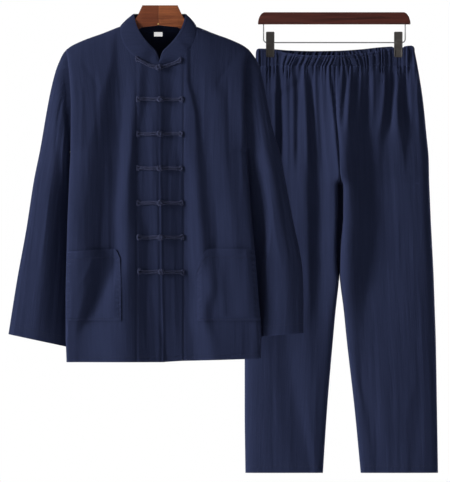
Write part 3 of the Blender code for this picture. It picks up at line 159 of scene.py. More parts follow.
# The front's main folds are lines of ridges (r) and troughs (t), with the x and the height of each
JACKET_WAVES = {
    "places": table(
        "drop r1 t1 r2 t2 r3 t3 r4 t4 r5 t5",
        (0.13, -0.115, -0.0943, -0.046, -0.023, 0, 0.0276, 0.0621, 0.0713, 0.1173, 0.1426),
        (0.1714, -0.1265, -0.0943, -0.0506, -0.0276, 0, 0.0276, 0.0621, 0.0713, 0.1173, 0.1426),
        (0.2173, -0.1437, -0.0943, -0.0598, -0.0276, 0, 0.0299, 0.0736, 0.0817, 0.1357, 0.161),
        (0.2633, -0.1518, -0.0943, -0.0644, -0.0391, 0.0023, 0.0253, 0.0805, 0.0886, 0.1403, 0.1679),
        (0.3208, -0.1679, -0.0966, -0.0667, -0.0483, 0.0023, 0.0345, 0.0805, 0.1001, 0.1472, 0.1748),
        (0.4013, -0.1817, -0.1012, -0.0736, -0.0483, 0, 0.0529, 0.0851, 0.1104, 0.1564, 0.184),
        (0.4819, -0.1932, -0.1081, -0.0759, -0.0391, 0.0011, 0.0552, 0.0897, 0.1173, 0.1702, 0.1909),
        (0.5279, -0.1978, -0.1058, -0.0759, -0.023, 0.0023, 0.0552, 0.0966, 0.1242, 0.1748, 0.1932),
        (0.5854, -0.1748, -0.1081, -0.0759, -0.0184, 0.0023, 0.0575, 0.1012, 0.1288, 0.1771, 0.1955),
        (0.6429, -0.1771, -0.1288, -0.0805, -0.0184, 0.0023, 0.0644, 0.1127, 0.1334, 0.1794, 0.1978),
        (0.7118, -0.1886, -0.1644, -0.0817, -0.0092, 0.0034, 0.0644, 0.1035, 0.1219, 0.1794, 0.1978),
        (0.7808, -0.2024, -0.184, -0.0828, 0, 0.0138, 0.0736, 0.1242, 0.1426, 0.184, 0.2001),
        (0.8176, -0.207, -0.1886, -0.0828, 0.0046, 0.0184, 0.0759, 0.1288, 0.1472, 0.184, 0.2001),
    ),
    "heights": table(
        "drop r1 t1 r2 t2 r3 t3 r4 t4 r5 t5",
        (0.13, 0.0039, -0.0013, 0.002, -0.0006, 0, -0.0026, 0.0013, -0.0013, 0, -0.0013),
        (0.2173, 0.0117, -0.0039, 0.0046, -0.002, 0, -0.0059, 0.0013, -0.0032, 0.0032, 0),
        (0.3208, 0.0156, -0.0078, 0.0052, -0.0052, -0.002, -0.0078, 0.0013, -0.0052, 0.002, -0.0006),
        (0.4013, 0.0169, -0.0091, 0.0059, -0.0065, -0.0039, -0.013, 0, -0.0072, 0.0006, -0.0013),
        (0.5279, 0.0169, -0.0104, 0.0065, -0.0117, -0.0091, -0.0208, -0.0026, -0.0104, 0.0013, 0),
        (0.6429, 0.0104, -0.0078, 0.0104, -0.0117, -0.0104, -0.0208, -0.0013, -0.0052, 0, 0),
        (0.7118, 0.0039, -0.0078, 0.0117, -0.0117, -0.0111, -0.0208, -0.0026, -0.0065, -0.0013, -0.0013),
        (0.7648, -0.0091, -0.0104, 0.0117, -0.0097, -0.0117, -0.0169, -0.0013, -0.0026, -0.0026, -0.0039),
        (0.8176, -0.0104, -0.0104, 0.0117, -0.0091, -0.0117, -0.0156, 0, -0.0013, -0.0026, -0.0039),
    ),
}

# The scene's own finer creases
JACKET_CREASES = {
    "front": table(
        FOLD, (-0.209, 0.36, -0.211, 0.84, 0.0035, 0.0012), (-0.176, 0.14, -0.184, 0.44, 0.005, 0.0012),
        (-0.15, 0.12, -0.14, 0.36, 0.006, -0.0012), (-0.128, 0.42, -0.14, 0.6, 0.005, -0.001),
        (-0.118, 0.3, -0.12, 0.62, 0.006, 0.0012), (-0.1, 0.14, -0.092, 0.3, 0.005, 0.001),
        (-0.086, 0.4, -0.094, 0.72, 0.0045, 0.001), (-0.041, 0.35, -0.043, 0.47, 0.004, 0.001),
        (-0.034, 0.2, -0.03, 0.31, 0.0035, -0.0008), (-0.018, 0.22, -0.017, 0.49, 0.004, 0.001),
        (-0.028, 0.5, -0.03, 0.78, 0.0045, -0.0009), (0.018, 0.3, 0.02, 0.56, 0.005, -0.0012),
        (0.033, 0.18, 0.036, 0.44, 0.0045, 0.0009), (0.03, 0.52, 0.036, 0.8, 0.005, 0.001),
        (0.078, 0.42, 0.088, 0.7, 0.0045, -0.001), (0.104, 0.14, 0.1, 0.36, 0.005, 0.001),
        (0.128, 0.44, 0.132, 0.6, 0.005, -0.0012), (0.154, 0.13, 0.16, 0.4, 0.005, -0.001),
        (0.186, 0.16, 0.19, 0.48, 0.0045, 0.0012), (0.206, 0.46, 0.226, 0.83, 0.004, 0.0012),
        (0.172, 0.12, 0.12, 0.2, 0.006, -0.001), (-0.182, 0.12, -0.13, 0.21, 0.006, -0.001),
    ),
    "back": table(
        FOLD, (-0.19, 0.13, -0.196, 0.42, 0.006, -0.0013), (-0.168, 0.3, -0.176, 0.62, 0.006, 0.0012),
        (-0.124, 0.14, -0.13, 0.4, 0.0055, 0.0012), (-0.076, 0.36, -0.082, 0.7, 0.006, 0.0012),
        (-0.03, 0.12, -0.026, 0.3, 0.0055, -0.001), (0.024, 0.4, 0.028, 0.78, 0.006, 0.0012),
        (0.072, 0.14, 0.078, 0.42, 0.006, -0.0011), (0.12, 0.34, 0.132, 0.72, 0.006, 0.0012),
        (0.168, 0.13, 0.174, 0.44, 0.0055, 0.0012), (0.196, 0.4, 0.21, 0.8, 0.0055, -0.0012),
    ),
}
SLEEVE_SQUARE = {"right": 1, "left": 0.4}
SLEEVE_SQUARE_START = 0.3
TUCKED = table(
    "along front start run", (0, 0.016, 0.2, 0.5), (0.2, 0.018, 0.2, 0.5), (0.45, 0.022, 0.2, 0.5),
    (0.75, 0.016, 0.2, 0.15), (1, 0.014, 0.2, 0.15),
)
SLEEVE_FOLD = "top_angle top_along bottom_angle bottom_along width height"
SLEEVE_FOLDS = {
    "right": table(
        SLEEVE_FOLD, (78, 0.12, 86, 1.15, 17, 0.004), (128, 0.16, 132, 1.15, 18, -0.003),
        (240, 0.2, 236, 1.1, 15, -0.004), (285, 0.12, 292, 0.9, 14, 0.0035),
    ),
    "left": table(
        SLEEVE_FOLD, (70, 0.12, 66, 1.15, 20, 0.0045), (236, 0.22, 232, 1.1, 15, -0.004),
    ),
}
SLEEVE_CREASES = table(
    SLEEVE_FOLD, (36, 0.04, 44, 0.34, 5, 0.001), (74, 0.02, 80, 0.3, 6, -0.0012),
    (108, 0.05, 116, 0.36, 6, 0.0012), (146, 0.03, 140, 0.3, 6, -0.0012), (160, 0.1, 158, 0.6, 5, 0.001),
    (44, 0.36, 52, 0.8, 5, -0.001), (80, 0.4, 76, 0.78, 5, 0.001), (112, 0.48, 110, 1.05, 6, -0.001),
    (140, 0.55, 146, 1.08, 6, -0.0011), (30, 0.55, 34, 1.05, 5, 0.0009), (204, 0.05, 212, 0.42, 6, 0.0012),
    (262, 0.04, 256, 0.46, 6, 0.0011), (312, 0.2, 306, 0.72, 6, -0.0011), (220, 0.5, 216, 1.06, 6, 0.0011),
    (336, 0.3, 330, 0.9, 5, 0.001),
)

# Trousers
TROUSERS_Y = 0.0777
WAIST_SEAM_DROP = 0.138
CROTCH_DROP = 0.406
TROUSERS_HEM_DROP = 1.0765
LEGS = table(
    "drop right right_inner left_inner left", (0.105, 0.2208, 0.4036, 0.4036, 0.587),
    (0.138, 0.219, 0.4036, 0.4036, 0.5935), (0.217, 0.2116, 0.405, 0.405, 0.606),
    (0.3, 0.206, 0.409, 0.409, 0.6145), (0.355, 0.2013, 0.4125, 0.4125, 0.6195),
    (0.406, 0.199, 0.4158, 0.4158, 0.6205), (0.43, 0.1985, 0.4166, 0.4166, 0.6216),
    (0.493, 0.197, 0.4164, 0.4164, 0.6242), (0.55, 0.1962, 0.4152, 0.4152, 0.6271),
    (0.62, 0.1955, 0.4132, 0.4137, 0.6306), (0.641, 0.1954, 0.4114, 0.4156, 0.6314),
    (0.7, 0.195, 0.4048, 0.4232, 0.6334), (0.769, 0.1948, 0.3984, 0.4301, 0.6357),
    (0.93, 0.1948, 0.3848, 0.4485, 0.6385), (1.0765, 0.1965, 0.3752, 0.4625, 0.6408),
)
WAIST_DEPTH = table(
    "share front back", (-1, 0, 0), (-0.97, 0.0044, 0.0044), (-0.9, 0.005, 0.005), (-0.82, 0.0046, 0.0046),
    (-0.74, 0.0054, 0.0054), (-0.5, 0.012, 0.0115), (0, 0.019, 0.0175), (0.5, 0.0115, 0.011),
    (0.71, 0.0054, 0.0054), (0.793, 0.0046, 0.0046), (0.88, 0.0052, 0.0052), (0.97, 0.0046, 0.0046),
    (1, 0, 0),
)
LEG_DEPTH = table(
    "drop depth", (0.138, 0.024), (0.22, 0.029), (0.3, 0.033), (0.406, 0.034), (0.6, 0.032), (0.8, 0.027),
    (1.068, 0.021),
)
LEG_ROUND = {"front": 3.4, "back": 2.3}
LEG_INNER_ROUND = {"front": 5.5, "back": 2.3}
LEG_GAP = table(
    "drop right left", (0.405, 0, 0), (0.413, 0.007, 0.0052), (0.482, 0.0078, 0.005),
    (0.539, 0.009, 0.0016), (0.585, 0.007, 0), (0.64, 0, 0),
)
PART_RUN = 0.014
LEG_FOLD_EDGE_ROUND = 5
LEG_FOLD_INNER_ROUND = 12
LEG_EVEN_COLUMNS = 0.6
WAIST_BLEND_DROP = 0.29
TROUSERS_FOLDS = table(
    FOLD, (0.232, 0.13, 0.241, 0.34, 0.008, 0.004), (0.246, 0.13, 0.248, 0.26, 0.006, -0.0035),
    (0.26, 0.13, 0.256, 0.27, 0.006, 0.0035), (0.27, 0.13, 0.268, 0.23, 0.005, -0.003),
    (0.28, 0.13, 0.276, 0.22, 0.0055, 0.003), (0.298, 0.13, 0.288, 0.38, 0.008, 0.0045),
    (0.31, 0.13, 0.308, 0.34, 0.007, -0.0045), (0.321, 0.13, 0.33, 0.36, 0.0075, 0.004),
    (0.334, 0.13, 0.35, 0.38, 0.008, -0.005), (0.346, 0.13, 0.369, 0.33, 0.0085, 0.0055),
    (0.366, 0.3, 0.386, 0.72, 0.011, 0.006), (0.357, 0.13, 0.366, 0.24, 0.0055, -0.003),
    (0.37, 0.13, 0.374, 0.25, 0.006, 0.003), (0.389, 0.13, 0.4, 0.38, 0.008, 0.004),
    (0.444, 0.13, 0.424, 0.38, 0.008, 0.0045), (0.429, 0.13, 0.418, 0.26, 0.006, -0.0035),
    (0.456, 0.14, 0.45, 0.28, 0.007, -0.004), (0.466, 0.13, 0.462, 0.24, 0.0065, 0.0035),
    (0.478, 0.13, 0.482, 0.24, 0.006, -0.003), (0.492, 0.13, 0.504, 0.34, 0.009, 0.004),
    (0.504, 0.13, 0.516, 0.24, 0.0055, -0.003), (0.515, 0.13, 0.522, 0.25, 0.006, 0.003),
    (0.538, 0.13, 0.542, 0.27, 0.007, 0.0035), (0.55, 0.13, 0.558, 0.24, 0.0055, -0.003),
    (0.561, 0.13, 0.577, 0.28, 0.007, 0.0035), (0.438, 0.3, 0.462, 0.62, 0.017, -0.008),
    (0.437, 0.7, 0.474, 0.92, 0.012, -0.005), (0.446, 0.74, 0.466, 1.12, 0.009, 0.004),
    (0.505, 0.56, 0.52, 1.12, 0.018, 0.0045), (0.565, 0.7, 0.575, 1.12, 0.018, -0.004),
    (0.3, 0.36, 0.29, 0.9, 0.017, 0.0045), (0.335, 0.62, 0.33, 1.12, 0.014, -0.0045),
    (0.232, 0.5, 0.226, 1.12, 0.014, 0.0035),
)
TROUSERS_WAVES = {
    "places": table(
        "drop r1 t1 r2 t2 r3 t3 r4 t4 r5 t5 r6",
        (0.1391, 0.2898, 0.3174, 0.3312, 0.345, 0.4186, 0.4646, 0.506, 0.529, 0.5474, 0.5635, 0.5865),
        (0.1714, 0.2898, 0.3174, 0.3323, 0.3462, 0.4198, 0.4738, 0.5198, 0.5313, 0.5497, 0.5646, 0.5888),
        (0.2173, 0.2438, 0.2783, 0.3369, 0.3508, 0.4324, 0.4795, 0.5141, 0.529, 0.5428, 0.5658, 0.5911),
        (0.2748, 0.2461, 0.2806, 0.3392, 0.3576, 0.4289, 0.4795, 0.506, 0.5232, 0.5474, 0.575, 0.6026),
        (0.3323, 0.2461, 0.2783, 0.3381, 0.3599, 0.4244, 0.4853, 0.5014, 0.5175, 0.5566, 0.5681, 0.6072),
        (0.4013, 0.2484, 0.2829, 0.3358, 0.3611, 0.422, 0.4968, 0.5083, 0.5221, 0.5612, 0.5727, 0.6095),
        (0.4703, 0.253, 0.2898, 0.3369, 0.3623, 0.4266, 0.5083, 0.5198, 0.5313, 0.5658, 0.5773, 0.6141),
        (0.5393, 0.2622, 0.3013, 0.3381, 0.3645, 0.4278, 0.4968, 0.5152, 0.5313, 0.5704, 0.5819, 0.6164),
        (0.6083, 0.2714, 0.3174, 0.3404, 0.3657, 0.4301, 0.4853, 0.5152, 0.5336, 0.575, 0.5865, 0.621),
        (0.6774, 0.2668, 0.3174, 0.3427, 0.3634, 0.4278, 0.4784, 0.5198, 0.5382, 0.575, 0.5888, 0.621),
        (0.7693, 0.253, 0.2921, 0.3404, 0.368, 0.4324, 0.4738, 0.5129, 0.5405, 0.5796, 0.5934, 0.6233),
        (0.8613, 0.2576, 0.299, 0.3427, 0.3726, 0.4508, 0.4669, 0.5152, 0.5405, 0.5865, 0.6003, 0.6233),
        (0.9534, 0.2691, 0.322, 0.345, 0.3749, 0.4646, 0.483, 0.5175, 0.5405, 0.5589, 0.598, 0.621),
        (1.0683, 0.2875, 0.345, 0.3634, 0.3795, 0.4784, 0.5014, 0.529, 0.552, 0.5658, 0.5865, 0.621),
    ),
    "heights": table(
        "drop r1 t1 r2 t2 r3 t3 r4 t4 r5 t5 r6", (0.138, 0, 0, 0, 0, 0, 0, 0, 0, 0, 0, 0),
        (0.1943, -0.0024, -0.0048, 0, -0.0036, 0.0108, 0, 0.0012, -0.0012, 0.0012, -0.0024, 0.0012),
        (0.2748, -0.0072, -0.0132, 0, -0.0078, 0.0198, -0.0018, 0.003, -0.0036, 0.003, -0.006, 0),
        (0.3323, -0.006, -0.0114, 0.0024, -0.0072, 0.021, -0.0072, -0.0036,
         -0.006, -0.0018, -0.0054, -0.0012),
        (0.4013, -0.0036, -0.0096, 0.0048, -0.006, 0.0216, -0.0108, -0.0096,
         -0.009, -0.006, -0.0054, -0.0018),
        (0.4703, -0.0024, -0.009, 0.003, -0.0078, 0.0216, -0.0096, -0.009,
         -0.0084, -0.006, -0.0054, -0.0018),
        (0.5393, -0.0012, -0.0078, 0, -0.009, 0.021, -0.0078, -0.0072, -0.0072, -0.006, -0.0048, -0.0018),
        (0.6083, 0.0012, -0.0048, 0.0024, -0.006, 0.0168, -0.0054, -0.0048, -0.0042, -0.0024, -0.0018, 0),
        (0.6774, 0.0012, -0.0012, 0.0024, -0.0036, 0.012, -0.0024, -0.0012, 0, 0.0012, 0.0012, 0.0012),
        (0.7693, 0.0024, -0.0012, 0.0036, 0.0012, 0.006, 0, 0.0012, 0.0012, 0.0012, 0.0012, 0.0012),
        (0.8613, 0.0024, -0.0024, 0.0024, 0.0012, 0.0036, 0, 0.0024, 0.0012, 0, -0.0012, 0),
        (0.9534, 0.0024, -0.0024, 0.0012, 0, 0.0024, 0, 0.0036, 0.0024, 0.0024, -0.0012, 0),
        (1.0683, 0.0012, -0.0024, 0, -0.0012, 0.0012, 0, 0.0024, 0.0024, 0.0024, 0, 0),
    ),
}

# The waist's gathers run down into the legs: top x, bottom x and height, by the drop that they end at
GATHER_TOP_DROP = 0.13
GATHER_WIDTH = 0.0052
GATHERS = {
    0.4: (
        (0.265, 0.265, 0.0034), (0.277, 0.28, -0.0034), (0.29, 0.296, 0.0029), (0.306, 0.306, 0.0029),
        (0.319, 0.316, -0.0034), (0.331, 0.341, 0.0034), (0.346, 0.352, -0.004), (0.354, 0.368, 0.0029),
        (0.37, 0.386, 0.0017), (0.386, 0.413, 0.0034), (0.394, 0.418, -0.0029),
    ),
    0.3: (
        (0.42, 0.407, 0.0025), (0.431, 0.419, -0.003), (0.439, 0.43, 0.003), (0.457, 0.444, -0.003),
        (0.466, 0.455, 0.002), (0.482, 0.476, -0.0025), (0.494, 0.488, 0.0025), (0.522, 0.508, 0.003),
        (0.542, 0.527, -0.0035), (0.55, 0.545, 0.0025), (0.565, 0.57, -0.003), (0.577, 0.58, 0.0015),
        (0.589, 0.598, 0.002),
    ),
}
TROUSERS_GATHERS = table(
    FOLD,
    *(
        (top_x, GATHER_TOP_DROP, bottom_x, drop, GATHER_WIDTH, height)
        for drop, rows in GATHERS.items() for top_x, bottom_x, height in rows
    ),
)
TROUSERS_CREASES = table(
    FOLD, (0.222, 0.3, 0.214, 0.62, 0.005, 0.0007), (0.25, 0.34, 0.246, 0.6, 0.005, -0.0007),
    (0.275, 0.3, 0.268, 0.66, 0.0055, 0.0007), (0.35, 0.42, 0.352, 0.8, 0.005, -0.0007),
    (0.318, 0.42, 0.314, 0.74, 0.0055, 0.0007), (0.262, 0.7, 0.258, 1.12, 0.006, -0.0007),
    (0.3, 0.82, 0.3, 1.12, 0.0055, 0.0006), (0.36, 0.8, 0.352, 1.12, 0.005, 0.0007),
    (0.398, 0.3, 0.404, 0.46, 0.004, -0.0006), (0.428, 0.34, 0.44, 0.5, 0.0045, 0.0007),
    (0.47, 0.3, 0.486, 0.6, 0.0055, 0.0008), (0.512, 0.32, 0.52, 0.58, 0.0055, -0.0008),
    (0.54, 0.32, 0.552, 0.66, 0.0055, 0.0008), (0.59, 0.26, 0.6, 0.6, 0.005, -0.0007),
    (0.494, 0.7, 0.5, 1.12, 0.0055, -0.0007), (0.54, 0.7, 0.548, 1.12, 0.0055, 0.0007),
    (0.6, 0.64, 0.612, 1.12, 0.005, 0.0007),
)

BAND_TOP = table(
    "share front back", (-1, 0.1055, 0.1055), (-0.985, 0.0998, 0.0998), (-0.955, 0.0982, 0.0982),
    (-0.82, 0.099, 0.099), (-0.6, 0.1085, 0.1022), (-0.3, 0.114, 0.1038), (0, 0.114, 0.1032),
    (0.3, 0.1097, 0.1001), (0.6, 0.1008, 0.0946), (0.715, 0.0965, 0.0936), (0.735, 0.0959, 0.0957),
    (0.852, 0.0957, 0.0957), (0.872, 0.093, 0.093), (0.955, 0.0914, 0.0914), (0.985, 0.0938, 0.0938),
    (1, 0.099, 0.099),
)
BAND_LEAN = 0.010
BAND_LEAN_START = 0.104
BAND_LEAN_RUN = 0.012
CLIP_SHARES = (-0.82, 0.793)
CLIP_GRIP = 0.07

# Frog closures and pockets
FROG_COUNT = 7
TOP_KNOT_DROP = 0.1426
FIRST_ROW_DROP = 0.2162
FROG_PITCH = 0.0794
KNOT_RADIUS = 0.0074
KNOT_DEPTH = 0.0052
ARM_REACH = {"right": 0.0535, "left": 0.0525}
TOP_ARM_RISE = {"right": 0.0215, "left": 0.0165}
POCKET_MOUTH_GAPE = 0.0035
POCKET_MOUTH_DEPTH = 0.28
LAID_CLEAR = 0.0004


def read(rows, column, at):
    """A column of a table on a smooth curve through its rows, held level past both ends."""
    keys, values = next(iter(rows.values())), rows[column]
    rise = np.diff(values) / np.diff(keys)
    both, total = rise[:-1] * rise[1:], rise[:-1] + rise[1:]
    inner = np.where(both > 0, 2 * both / np.where(both > 0, total, 1), 0)
    slopes = np.concatenate([rise[:1], inner, rise[-1:]])
    at = np.clip(at, keys[0], keys[-1])
    row = np.clip(np.searchsorted(keys, at) - 1, 0, len(keys) - 2)
    gap = keys[row + 1] - keys[row]
    t = (at - keys[row]) / gap
    level = values[row] * (1 + 2 * t) * (1 - t) ** 2 + values[row + 1] * t * t * (3 - 2 * t)
    return level + gap * (slopes[row] * t * (1 - t) ** 2 - slopes[row + 1] * t * t * (1 - t))


def lerp(start, end, part):
    return start + (end - start) * part


def ease(part):
    """0 to 1 with level ends."""
    part = np.clip(part, 0, 1)
    return part * part * (3 - 2 * part)


def bump(distance, width):
    """1 at distance 0, falling softly to 0."""
    return np.exp(-((distance / width) ** 2))


def dip(distance, form):
    """The depth of a groove at a distance from its line."""
    return form["depth"] * bump(distance, form["width"])


def superellipse(share, power):
    """1 at share 0, falling to 0 at share 1, with a rounder shoulder for a greater power."""
    return np.clip(1 - np.abs(share) ** power, 0, 1) ** (1 / power)


def fold_height(folds, across, down):
    """The sum of the ridges and troughs at each place; every fold fades in and out along its length."""
    total = np.zeros(np.broadcast(across, down).shape)
    for top_across, top_down, bottom_across, bottom_down, width, height in zip(*folds.values()):
        part = (down - top_down) / (bottom_down - top_down)
        middle = lerp(top_across, bottom_across, part)
        fade = ease(part / FOLD_FADE["in"]) * ease((1 - part) / FOLD_FADE["out"])
        total += height * fade * bump(across - middle, width)
    return total


def wave_height(waves, across, down):
    """The height of cloth that rises and falls evenly from each line of the waves to the next."""
    places, heights = waves["places"], waves["heights"]
    names = list(places)[1:]
    total = read(heights, names[0], down)
    for before, after in zip(names, names[1:]):
        start, end = read(places, before, down), read(places, after, down)
        change = read(heights, after, down) - read(heights, before, down)
        total = total + change * ease((across - start) / (end - start))
    return total


def crinkles(seed, count, x_range, drop_range, width, height, length, lean):
    """A table of short upright creases like the cloth's own slubs, scattered over a panel."""
    dice = random.Random(seed)
    rows = []
    for _ in range(count):
        x, drop = dice.uniform(*x_range), dice.uniform(*drop_range)
        bottom = (x + dice.uniform(-lean, lean), drop + dice.uniform(*length))
        sign = dice.choice((-1, 1))
        rows.append((x, drop, *bottom, dice.uniform(*width), sign * dice.uniform(*height)))
    return table(FOLD, *rows)


SLUB_WIDTH = (0.0018, 0.0032)
SLUB_HEIGHT = {"jacket": (0.00018, 0.00040), "leg": (0.00016, 0.00036)}
SLUB_LEAN = 0.002
SLUBS = {
    face: crinkles(
        seed, 210, (-0.21, 0.22), (0.06, 0.80), SLUB_WIDTH, SLUB_HEIGHT["jacket"], (0.02, 0.10), SLUB_LEAN
    )
    for face, seed in (("front", 11), ("back", 12))
}
SLUBS["leg"] = crinkles(
    13, 260, (0.20, 0.63), (0.14, 1.04), SLUB_WIDTH, SLUB_HEIGHT["leg"], (0.02, 0.08), SLUB_LEAN
)


def points_at(x, y, z):
    return np.stack(np.broadcast_arrays(x, y, z), axis=-1)


def wrapped(grid):
    """A ring's grid with its first column again at the end."""
    return np.concatenate([grid, grid[:, :1]], axis=1)


def lengths_along(grid, axis):
    """The length from the start of each row or column of points to each of its points."""
    steps = np.linalg.norm(np.diff(grid, axis=axis), axis=-1)
    return np.concatenate([np.zeros_like(np.take(steps, [0], axis)), np.cumsum(steps, axis)], axis=axis)


def unit(vectors):
    return vectors / np.maximum(np.linalg.norm(vectors, axis=-1, keepdims=True), 1e-12)


def normals(grid, inside, ring=False):
    """A unit vector at each point of a grid, square to it and pointing away from what is inside."""
    if ring:
        grid = np.concatenate([grid[:, -1:], grid, grid[:, :1]], axis=1)
    found = unit(np.cross(np.gradient(grid, axis=1), np.gradient(grid, axis=0)))
    if ring:
        grid, found = grid[:, 1:-1], found[:, 1:-1]
    return found if (found * (grid - inside)).sum() > 0 else -found


# Meshes
def quads(index):
    corners = [index[:-1, :-1], index[:-1, 1:], index[1:, 1:], index[1:, :-1]]
    return np.stack(corners, axis=-1).reshape(-1, 4)


def piece(mesh, look, nodes=(), sharp=50):
    """One visible piece, named as its mesh, with its finish and the solids that it stands for."""
    shape = bmesh.new()
    shape.from_mesh(mesh)
    bmesh.ops.recalc_face_normals(shape, faces=shape.faces)
    shape.to_mesh(mesh)
    shape.free()
    mesh.shade_smooth()
    mesh.set_sharp_from_angle(angle=math.radians(sharp))
    mesh.materials.append(look)
    made = bpy.data.objects.new(mesh.name, mesh)
    bpy.context.scene.collection.objects.link(made)
    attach(made, "root")
    if nodes:
        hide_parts(*nodes)
    return made


def joined(name, parts):
    """One mesh from several lists of points and faces."""
    points, faces, start = [], [], 0
    for part_points, part_faces in parts:
        points.append(np.reshape(part_points, (-1, 3)))
        faces += [[start + corner for corner in face] for face in part_faces]
        start += len(points[-1])
    mesh = bpy.data.meshes.new(name)
    mesh.from_pydata(np.concatenate(points).tolist(), [], faces)
    return mesh


def cloth_lengths(grid, ring):
    """Lengths over the cloth, across and down, and to its nearest edge, for the weave and wear."""
    if ring:
        grid = wrapped(grid)
    across, down = lengths_along(grid, 1), lengths_along(grid, 0)
    edge = np.minimum(down, down[-1:] - down)
    if not ring:
        edge = np.minimum(edge, np.minimum(across, across[:, -1:] - across))
    middle = across.shape[1] // 2
    return np.stack([across - across[:, middle : middle + 1], down, edge], axis=-1)


def wall_mesh(name, outer, inner, ring=False):
    """One closed wall between two grids of points, with its lengths kept at each corner of its faces."""
    rows, columns = outer.shape[:2]
    count = rows * columns
    index = np.arange(count).reshape(rows, columns)
    lengths = cloth_lengths(outer, ring)
    place = np.arange(lengths.shape[0] * lengths.shape[1]).reshape(lengths.shape[:2])
    if ring:
        index = wrapped(index)
    faces, places = [quads(index), quads(index) + count], [quads(place), quads(place)]
    for edge in [np.s_[0], np.s_[-1]] if ring else [np.s_[0], np.s_[-1], np.s_[:, 0], np.s_[:, -1]]:
        faces.append(quads(np.stack([index[edge], index[edge] + count])))
        places.append(quads(np.stack([place[edge], place[edge]])))
    faces = np.concatenate(faces)
    mesh = bpy.data.meshes.new(name)
    points = np.concatenate([outer.reshape(-1, 3), inner.reshape(-1, 3)])
    mesh.from_pydata(points.tolist(), [], faces.tolist())
    kept = mesh.attributes.new("lengths", "FLOAT_VECTOR", "CORNER")
    kept.data.foreach_set("vector", lengths.reshape(-1, 3)[np.concatenate(places).reshape(-1)].reshape(-1))
    return mesh


def lining(outer, inside, level):
    """The cloth's inner side, its thickness away; a level edge isn't moved along its named axis."""
    facing = normals(outer, inside)
    for edge, axis in level:
        facing[edge + (axis,)] = 0
    return outer - CLOTH * unit(facing)


def cloth_piece(name, outer, inner, ring=False, look=None, slot="navy_cloth", **sheet):
    """A cloth wall between two grids, made into one piece with its finish."""
    mesh = wall_mesh(name, outer, inner, ring)
    made = piece(mesh, look or CLOTH_LOOK, (name.replace("_cloth", ""),), sharp=60)


def circle(sides, first, second):
    """Steps round a unit circle at each point, in the plane of two vectors there."""
    angle = np.linspace(0, 2 * math.pi, sides, endpoint=False)
    return np.cos(angle)[:, None] * first[:, None] + np.sin(angle)[:, None] * second[:, None]


def ring_faces(rings, sides, closed=False):
    """The faces round a row of rings, which are capped at both ends or closed on themselves."""
    index = wrapped(np.arange(rings * sides).reshape(rings, sides))
    if closed:
        return quads(np.concatenate([index, index[:1]], axis=0)).tolist()
    return quads(index).tolist() + [index[0, :-1].tolist(), index[-1, :-1].tolist()]


def tube(points, reference, radius, sides, closed=False):
    """The points and faces of a round cord on a line of points, with a reference for its upper side."""
    points, reference = np.asarray(points), np.asarray(reference)
    if closed:
        tangent = np.roll(points, -1, axis=0) - np.roll(points, 1, axis=0)
    else:
        tangent = np.gradient(points, axis=0)
    tangent = unit(tangent)
    side = unit(np.cross(tangent, reference))
    up = np.cross(side, tangent)
    radius = np.broadcast_to(radius, (len(points),))[:, None, None]
    made = points[:, None] + radius * circle(sides, side, up)
    return made.reshape(-1, 3), ring_faces(len(points), sides, closed)


def smooth_loop(points, steps):
    """A smooth closed line through a few points, with the given steps between each two."""
    points = np.asarray(points, float)
    count = len(points)
    line = []
    for k in range(count):
        before, start, end, after = (points[(k + j) % count] for j in (-1, 0, 1, 2))
        for t in np.linspace(0, 1, steps, endpoint=False):
            line.append(0.5 * (
                2 * start + (end - before) * t + (2 * before - 5 * start + 4 * end - after) * t * t
                + (3 * start - before - 3 * end + after) * t**3
            ))
    return np.array(line)


# Materials
class Nodes:
    """A material's nodes, added and linked by name."""

    def __init__(self, name):
        self.material = bpy.data.materials.new(name)
        self.material.use_nodes = True
        self.tree = self.material.node_tree
        self.shader = self.tree.nodes["Principled BSDF"]

    def add(self, kind, settings=(), **inputs):
        node = self.tree.nodes.new("ShaderNode" + kind)
        for key, value in dict(settings).items():
            setattr(node, key, value)
        for key, value in inputs.items():
            self.put(node.inputs[key.replace("_", " ")], value)
        return node

    def put(self, socket, value):
        if isinstance(value, bpy.types.NodeSocket):
            self.tree.links.new(value, socket)
        else:
            socket.default_value = value

    def shine(self, **inputs):
        for key, value in inputs.items():
            self.put(self.shader.inputs[key.replace("_", " ")], value)

    def math(self, operation, a, b, clamp=False):
        node = self.tree.nodes.new("ShaderNodeMath")
        node.operation = operation
        node.use_clamp = clamp
        self.put(node.inputs[0], a)
        self.put(node.inputs[1], b)
        return node.outputs[0]

    def noise(self, vector, scale, detail=2.0, distortion=0.0):
        node = self.add("TexNoise", Vector=vector, Scale=scale, Detail=detail, Distortion=distortion)
        return node.outputs["Fac"]

    def grain(self, vector, stretch, detail, distortion=0.0):
        """Noise that is finer along an axis of a greater stretch."""
        stretched = self.add("Mapping", Vector=vector, Scale=stretch).outputs[0]
        return self.noise(stretched, 1.0, detail, distortion)

    def even(self, noise, low, high):
        """The middle part of a noise's range, spread from low to high."""
        return self.span(noise, 0.3, 0.7, low, high)

    def place(self):
        return self.add("TexCoord").outputs["Object"]

    def wave(self, length, pitch):
        return self.math("SINE", self.math("MULTIPLY", length, 2 * math.pi / pitch), 0)

    def mix(self, share, a, b):
        node = self.tree.nodes.new("ShaderNodeMix")
        node.data_type = "RGBA"
        self.put(node.inputs[0], share)
        self.put(node.inputs[6], a)
        self.put(node.inputs[7], b)
        return node.outputs[2]

    def span(self, value, low, high, to_low, to_high):
        node = self.tree.nodes.new("ShaderNodeMapRange")
        for socket, given in zip(node.inputs, (value, low, high, to_low, to_high)):
            self.put(socket, given)
        return node.outputs[0]

    def bump(self, height, distance, strength=1.0, after=None):
        node = self.add("Bump", Height=height, Distance=distance, Strength=strength)
        if after is not None:
            self.put(node.inputs["Normal"], after)
        return node.outputs[0]


